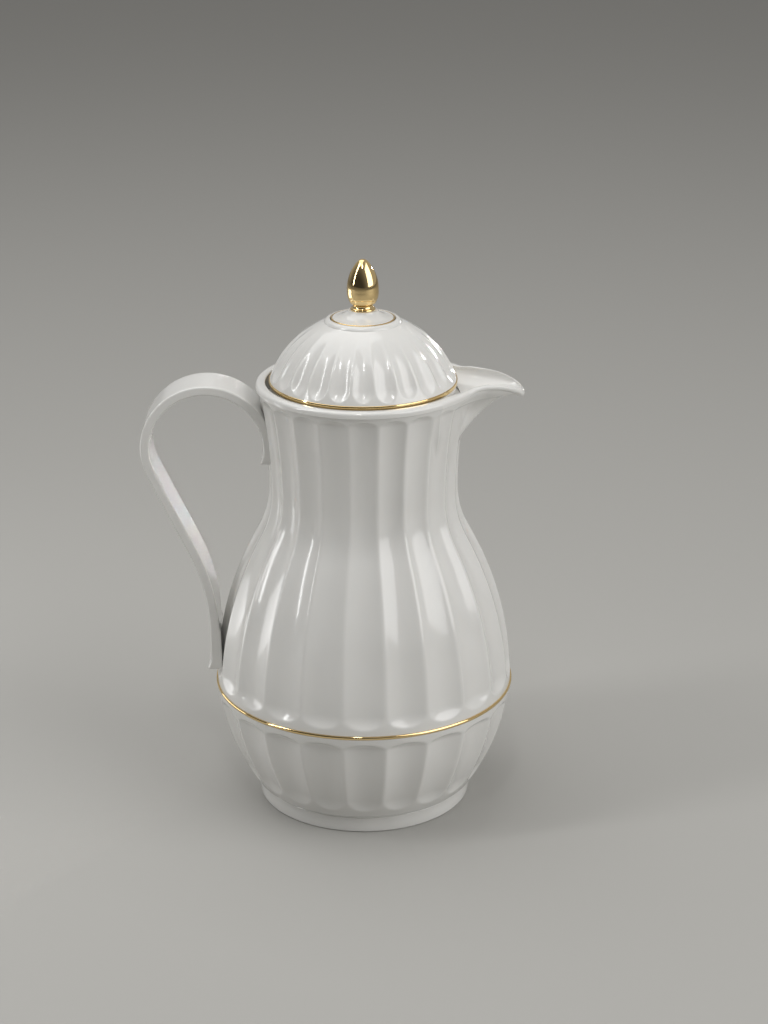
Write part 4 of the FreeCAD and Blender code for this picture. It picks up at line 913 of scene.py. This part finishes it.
def strap_path():
    """Stations (x, z, heading) along the middle of the strap, from its foot over the crown to its head."""
    out = CROWN[0] - LEG_CORNER[0]
    up = CROWN[1] - LEG_CORNER[1]
    lean = math.asin(CROWN_RADIUS / math.hypot(out, up)) - math.atan2(out, up)
    crown_start = (CROWN[0] - CROWN_RADIUS * math.cos(lean), CROWN[1] - CROWN_RADIUS * math.sin(lean))
    bend_level = LEG_CORNER[1] - LEG_BEND * math.tan(lean / 2)
    stations = []
    for z in np.linspace(FOOT_LEG_END + STRAP_EDGE, bend_level, 22)[:-1]:
        stations.append((FOOT_LEG_X, z, math.pi / 2))
    for angle in np.linspace(0, lean, 20):
        x = FOOT_LEG_X - LEG_BEND + LEG_BEND * math.cos(angle)
        stations.append((x, bend_level + LEG_BEND * math.sin(angle), math.pi / 2 + angle))
    bend_end = stations[-1]
    for share in np.linspace(0, 1, 14)[1:-1]:
        x = bend_end[0] + (crown_start[0] - bend_end[0]) * share
        z = bend_end[1] + (crown_start[1] - bend_end[1]) * share
        stations.append((x, z, math.pi / 2 + lean))
    for angle in np.linspace(math.pi + lean, 0, 90):
        x = CROWN[0] + CROWN_RADIUS * math.cos(angle)
        z = CROWN[1] + CROWN_RADIUS * math.sin(angle)
        stations.append((x, z, angle - math.pi / 2))
    for z in np.linspace(CROWN[1], HEAD_LEG_END + STRAP_EDGE, 14)[1:]:
        stations.append((CROWN[0] + CROWN_RADIUS, z, -math.pi / 2))
    return stations


def strap_ring(inner, outer, inset):
    """Section of the strap as (out, across) points: rounded corners, and points along the faces between."""
    half = STRAP_HALF_WIDTH - inset
    edge = STRAP_EDGE - INSET_SHARE * inset
    inner = inner + inset
    outer = outer - inset
    corners = []
    for out, across, first in ((outer, half, 0), (inner, half, 90), (inner, -half, 180), (outer, -half, 270)):
        centre_out = out - math.copysign(edge, out)
        centre_across = across - math.copysign(edge, across)
        corner = []
        for step in range(CORNER_STEPS + 1):
            angle = math.radians(first + 90 * step / CORNER_STEPS)
            corner.append((centre_out + edge * math.cos(angle), centre_across + edge * math.sin(angle)))
        corners.append(corner)
    points = []
    for corner, following in zip(corners, corners[1:] + corners[:1]):
        start = np.array(corner[-1])
        end = np.array(following[0])
        points += corner
        points += [tuple(start + (end - start) * step / FACE_STEPS) for step in range(1, FACE_STEPS)]
    return points


def build_handle():
    """A strap with a flick at each end. It is trimmed to lie on the flutes of the shell."""
    stations = strap_path()
    foot = stations[0]
    head = stations[-1]
    turns = [math.radians(angle) for angle in END_TURNS]
    rings = []

    def add_ring(station, inner, outer, inset):
        x, z, heading = station
        normal = (-math.sin(heading), math.cos(heading))
        section = strap_ring(inner, outer, inset)
        rings.append([(x + normal[0] * out, across, z + normal[1] * out) for out, across in section])

    def flick(distance):
        return FLICK_OUT * max(0.0, 1 - distance / FLICK_LENGTH) ** 2

    def seat(distance):
        return FOOT_SEAT * (1 - float(ease(distance / FOOT_SEAT_RISE)))

    for turn in turns:
        lift = STRAP_EDGE * (1 - math.sin(turn))
        inset = STRAP_EDGE * (1 - math.cos(turn))
        station = (foot[0], FOOT_LEG_END + lift, foot[2])
        add_ring(station, -STRAP_HALF - FOOT_SEAT, STRAP_HALF + flick(lift), inset)
    for station in stations:
        outer = STRAP_HALF
        inner = -STRAP_HALF
        if station[2] == foot[2]:
            outer += flick(station[1] - FOOT_LEG_END)
            inner -= seat(station[1] - FOOT_LEG_END)
        if station[2] == head[2]:
            inner -= flick(station[1] - HEAD_LEG_END)
        add_ring(station, inner, outer, 0.0)
    for turn in reversed(turns):
        lift = STRAP_EDGE * (1 - math.sin(turn))
        inset = STRAP_EDGE * (1 - math.cos(turn))
        station = (head[0], HEAD_LEG_END + lift, head[2])
        add_ring(station, -STRAP_HALF - flick(lift), STRAP_HALF, inset)

    grid = np.array(rings)
    across = grid[..., 1]
    level = np.clip(grid[..., 2], SHELL_FOOT, RIM_TOP)
    plain = shell_radius(level)
    skin = fluted(plain, level, math.pi - np.arcsin(across / plain), SHELL_FLUTE_ENDS)
    limit = np.sqrt(np.maximum(0.0, (skin + HANDLE_GAP) ** 2 - across ** 2))
    grid[..., 0] = np.minimum(grid[..., 0], -limit)
    points = grid.reshape(-1, 3)
    faces = capped_faces(*grid.shape[:2])
    add_piece("handle_strap", points, faces, "white_plastic", "pot", "handle", crease=STRAP_CREASE)


# Turned trim

def build_trim():
    """The ring between base and shell, the band round the lid and the hairline round the button."""
    low = BOWL_TOP[1] + TRIM_GAP
    high = SHELL_FOOT - TRIM_GAP
    ring = [(SHELL_BORE, low), (RING_RADIUS, low)]
    ring += bow(ring[-1], (RING_RADIUS, high), RING_BULGE, 12)
    ring += [(SHELL_BORE, high)]
    add_turned("gold_ring", ring, "gold_trim", "pot", "body_ring", segments=TRIM_SEGMENTS)

    edge = BAND_RADIUS - BAND_EDGE_IN
    shoulder = BAND_RADIUS - 2 * BAND_EDGE_IN
    band = [(BAND_BORE, BAND_FOOT), (shoulder, BAND_FOOT), (edge, BAND_FOOT + BAND_EDGE_UP)]
    band += bow(band[-1], (edge, BAND_TOP - BAND_EDGE_UP), BAND_BULGE, 12)
    band += [(shoulder, BAND_TOP), (BAND_BORE, BAND_TOP)]
    add_turned("gold_band", band, "gold_trim", "lid", "lid_band", segments=TRIM_SEGMENTS)

    inner = BUTTON_RADIUS - HAIRLINE_WIDTH
    foot = BUTTON_EDGE - HAIRLINE_HEIGHT
    hairline = [(inner, foot), (BUTTON_RADIUS, foot), (BUTTON_RADIUS, BUTTON_EDGE - HAIRLINE_EDGE)]
    hairline += bow(hairline[-1], (inner, BUTTON_EDGE), HAIRLINE_CURVE, 6)
    add_turned("gold_hairline", hairline, "gold_trim", "button", "button_ring")


def build_button():
    """The button's cap: a rebate for the hairline, a hole for the finial's peg, a boss for the stem."""
    rebate = BUTTON_RADIUS - BUTTON_REBATE
    rebate_foot = BUTTON_EDGE - HAIRLINE_HEIGHT
    lip = BUTTON_EDGE - BUTTON_LIP
    peg_end = BUTTON_TOP - PEG_HOLE_DEPTH
    boss_foot = BUTTON_EDGE - BOSS_DEPTH
    stem_end = boss_foot + STEM_HOLE_DEPTH
    roof = BUTTON_EDGE - BUTTON_ROOF
    skirt_foot = BUTTON_EDGE - BUTTON_SKIRT
    skirt_bore = BUTTON_RADIUS - BUTTON_WALL
    outline = [(rebate, rebate_foot), (rebate, lip)]
    outline += bow(
        outline[-1], (rebate - BUTTON_LIP_ROUND, BUTTON_EDGE + BUTTON_LIP_RISE), BUTTON_LIP_ROUND, 3
    )
    outline += bow(outline[-1], (HUB_RADIUS + HUB_FOOT, BUTTON_TOP - HUB_ROUND), -BUTTON_SCOOP, 16)
    outline += bow(outline[-1], (HUB_RADIUS - HUB_FLAT, BUTTON_TOP), HUB_ROUND, 4)
    outline += [(PEG_HOLE, BUTTON_TOP), (PEG_HOLE, peg_end), (0.0, peg_end)]
    outline += [(0.0, stem_end), (STEM_HOLE, stem_end), (STEM_HOLE, boss_foot)]
    outline += [(BOSS_RADIUS, boss_foot), (BOSS_RADIUS, roof), (skirt_bore, roof)]
    outline += [(skirt_bore, skirt_foot), (BUTTON_RADIUS, skirt_foot), (BUTTON_RADIUS, rebate_foot)]
    add_turned("button_cap", outline, "white_plastic", "button", "push_button", crease=BUTTON_CREASE)


def build_finial():
    """A bud on a waisted foot, with a peg that sits in the button."""
    peg_foot = BUTTON_TOP - PEG_DEPTH
    foot = BUTTON_TOP + FINIAL_GAP
    outline = [(0.0, peg_foot), (PEG_RADIUS, peg_foot), (PEG_RADIUS, foot), (FINIAL_FOOT, foot)]
    for radius, rise, bend, steps in FINIAL_ARCS:
        outline += bow(outline[-1], (radius, BUTTON_TOP + rise), bend, steps)
    outline += bow(outline[-1], (0.0, FINIAL_TOP), FINIAL_TIP_CURVE, 10)
    add_turned(
        "gold_finial", outline, "gold_trim", "button", "finial",
        close_rows=False, segments=96, crease=FINIAL_CREASE,
    )


# Spring and threads

def tube(path, radius, sides):
    """Rings of points round a path."""
    turn = np.arange(sides) * 2 * math.pi / sides
    rings = []
    for index, point in enumerate(path):
        ahead = path[min(index + 1, len(path) - 1)] - path[max(index - 1, 0)]
        ahead = ahead / np.linalg.norm(ahead)
        side = np.cross(ahead, (0.0, 0.0, 1.0))
        side = side / np.linalg.norm(side)
        up = np.cross(side, ahead)
        rings.append(point + radius * (np.outer(np.cos(turn), side) + np.outer(np.sin(turn), up)))
    return np.array(rings)


def build_spring():
    """Round wire whose first and last turns close up against the seats."""
    low = SPRING_SEAT + SPRING_WIRE + SPRING_GAP
    high = SPRING_ROOF - SPRING_WIRE - SPRING_GAP
    share = np.linspace(0, 1, SPRING_TURNS * 36 + 1)
    along = (share - SPRING_END) / (1 - 2 * SPRING_END)
    rise = SPRING_EASE * ease(along) + (1 - SPRING_EASE) * np.clip(along, 0.0, 1.0)
    path = around(SPRING_RADIUS, low + (high - low) * rise, share * SPRING_TURNS * 2 * math.pi)
    grid = tube(path, SPRING_WIRE, 12)
    faces = capped_faces(*grid.shape[:2])
    spring = add_piece("return_spring", grid.reshape(-1, 3), faces, "steel", "lid", "button_spring")
    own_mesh(spring)


def build_thread(name, root, crest, first, body):
    """Thread ridges that run in at both ends, with the lead that couples the lid's turn and lift."""
    share = np.linspace(0, 1, 60)
    rise = (THREAD_HIGH - THREAD_LOW) * share
    fade = np.sqrt(np.clip(np.minimum(share, 1 - share) / THREAD_RUN_IN, THREAD_LEAST, 1.0))
    tip = root + (crest - root) * fade
    flat = THREAD_FLAT * THREAD_HALF
    section = ((root, -THREAD_HALF), (tip, -flat), (tip, flat), (root, THREAD_HALF))
    points = []
    faces = []
    for start in range(THREAD_STARTS):
        angle = first + 2 * math.pi * (start / THREAD_STARTS + rise / THREAD_LEAD)
        grid = np.stack([around(radius, THREAD_LOW + rise + lift, angle) for radius, lift in section], axis=1)
        faces += capped_faces(*grid.shape[:2], len(points))
        points += grid.reshape(-1, 3).tolist()
    add_piece(name, points, faces, "inner_plastic", body, crease=THREAD_CREASE)


# Solids that stay as they are get their material and smooth shading

def dress_solids():
    slots = {entry["node"]: entry["material_slot"] for entry in frame["record"]["subparts"]}
    for name, node in frame["nodes"].items():
        node.data.materials.clear()
        node.data.materials.append(MATERIALS[slots[name]])
        node.data.shade_smooth()
        node.data.set_sharp_from_angle(angle=math.radians(SOLID_CREASE))


# Stage, light and camera

def build_stage():
    """A plain floor."""
    mesh = bpy.data.meshes.new("floor")
    corners = [(x * FLOOR_HALF, y * FLOOR_HALF, 0.0) for x, y in ((-1, -1), (1, -1), (1, 1), (-1, 1))]
    mesh.from_pydata(corners, [], [(0, 1, 2, 3)])
    material, shader = new_material("floor")
    shader.inputs["Base Color"].default_value = FLOOR_COLOUR
    shader.inputs["Roughness"].default_value = FLOOR_ROUGHNESS
    mesh.materials.append(material)
    floor = bpy.data.objects.new("floor", mesh)
    bpy.context.scene.collection.objects.link(floor)


def add_softbox(name, place, target, width, height, power, beam=180.0):
    """A rectangular lamp aimed at a target, with its power in watts and the angle of its beam."""
    lamp = bpy.data.lights.new(name, "AREA")
    lamp.shape = "RECTANGLE"
    lamp.size = width
    lamp.size_y = height
    lamp.energy = power
    lamp.spread = math.radians(beam)
    box = bpy.data.objects.new(name, lamp)
    box.location = place
    aim = np.array(target) - np.array(place)
    flat = math.hypot(aim[0], aim[1])
    box.rotation_euler = (math.atan2(flat, -aim[2]), 0.0, math.atan2(aim[1], aim[0]) - math.pi / 2)
    bpy.context.scene.collection.objects.link(box)


def build_room():
    """A world that is brighter behind the jug and on its right, and dim in front of it."""
    world = bpy.data.worlds.new("studio")
    world.use_nodes = True
    nodes = world.node_tree.nodes
    links = world.node_tree.links
    place = nodes.new("ShaderNodeTexCoord")
    away = nodes.new("ShaderNodeVectorMath")
    away.operation = "DOT_PRODUCT"
    away.inputs[1].default_value = ROOM_BRIGHT_SIDE
    depth = nodes.new("ShaderNodeMapRange")
    depth.interpolation_type = "SMOOTHSTEP"
    depth.inputs["From Min"].default_value = ROOM_SPAN[0]
    depth.inputs["From Max"].default_value = ROOM_SPAN[1]
    depth.inputs["To Min"].default_value = ROOM_STRENGTH[0]
    depth.inputs["To Max"].default_value = ROOM_STRENGTH[1]
    background = nodes["Background"]
    background.inputs["Color"].default_value = ROOM_COLOUR
    links.new(place.outputs["Generated"], away.inputs[0])
    links.new(away.outputs["Value"], depth.inputs["Value"])
    links.new(depth.outputs["Result"], background.inputs["Strength"])
    bpy.context.scene.world = world


def build_light():
    """A tall slit on the left, a broad light on the right, one overhead and a small one in front.

    A narrow beam from behind lights the inner face of the handle, and a low card lights the left flutes.
    """
    add_softbox("window", (-1.1, -0.35, 0.85), JUG_MIDDLE, width=0.11, height=1.3, power=4.8)
    add_softbox("broad", (1.25, -0.7, 0.95), JUG_MIDDLE, width=1.3, height=1.6, power=15.0)
    add_softbox("overhead", (-0.45, 0.15, 1.6), JUG_MIDDLE, width=1.7, height=1.5, power=11.5)
    add_softbox("lamp", (-0.12, -0.95, 1.75), JUG_MIDDLE, width=0.14, height=0.30, power=2.0)
    add_softbox(
        "handle_spot", (0.75, 1.25, 0.35), HANDLE_MIDDLE, width=0.10, height=0.10, power=0.08, beam=10.0
    )
    add_softbox("table_glow", (-0.46, 0.15, 0.08), BELLY_MIDDLE, width=0.28, height=0.15, power=0.28)


def build_camera():
    camera = bpy.data.cameras.new("camera")
    camera.sensor_width = CAMERA_SENSOR
    camera.lens = CAMERA_LENS
    holder = bpy.data.objects.new("camera", camera)
    holder.location = CAMERA_PLACE
    holder.rotation_euler = (math.radians(90.0 - CAMERA_DIP), 0.0, math.radians(CAMERA_TURN))
    bpy.context.scene.collection.objects.link(holder)
    bpy.context.scene.camera = holder


dress_solids()
build_upper_shell()
build_base()
build_lid()
build_handle()
build_trim()
build_button()
build_finial()
build_spring()
build_thread("stopper_thread", *STOPPER_THREAD, 0.0, "lid")
build_thread("collar_thread", *COLLAR_THREAD, math.pi / THREAD_STARTS, "pot")
build_stage()
build_room()
build_light()
build_camera()
bpy.context.scene.view_settings.view_transform = "Standard"
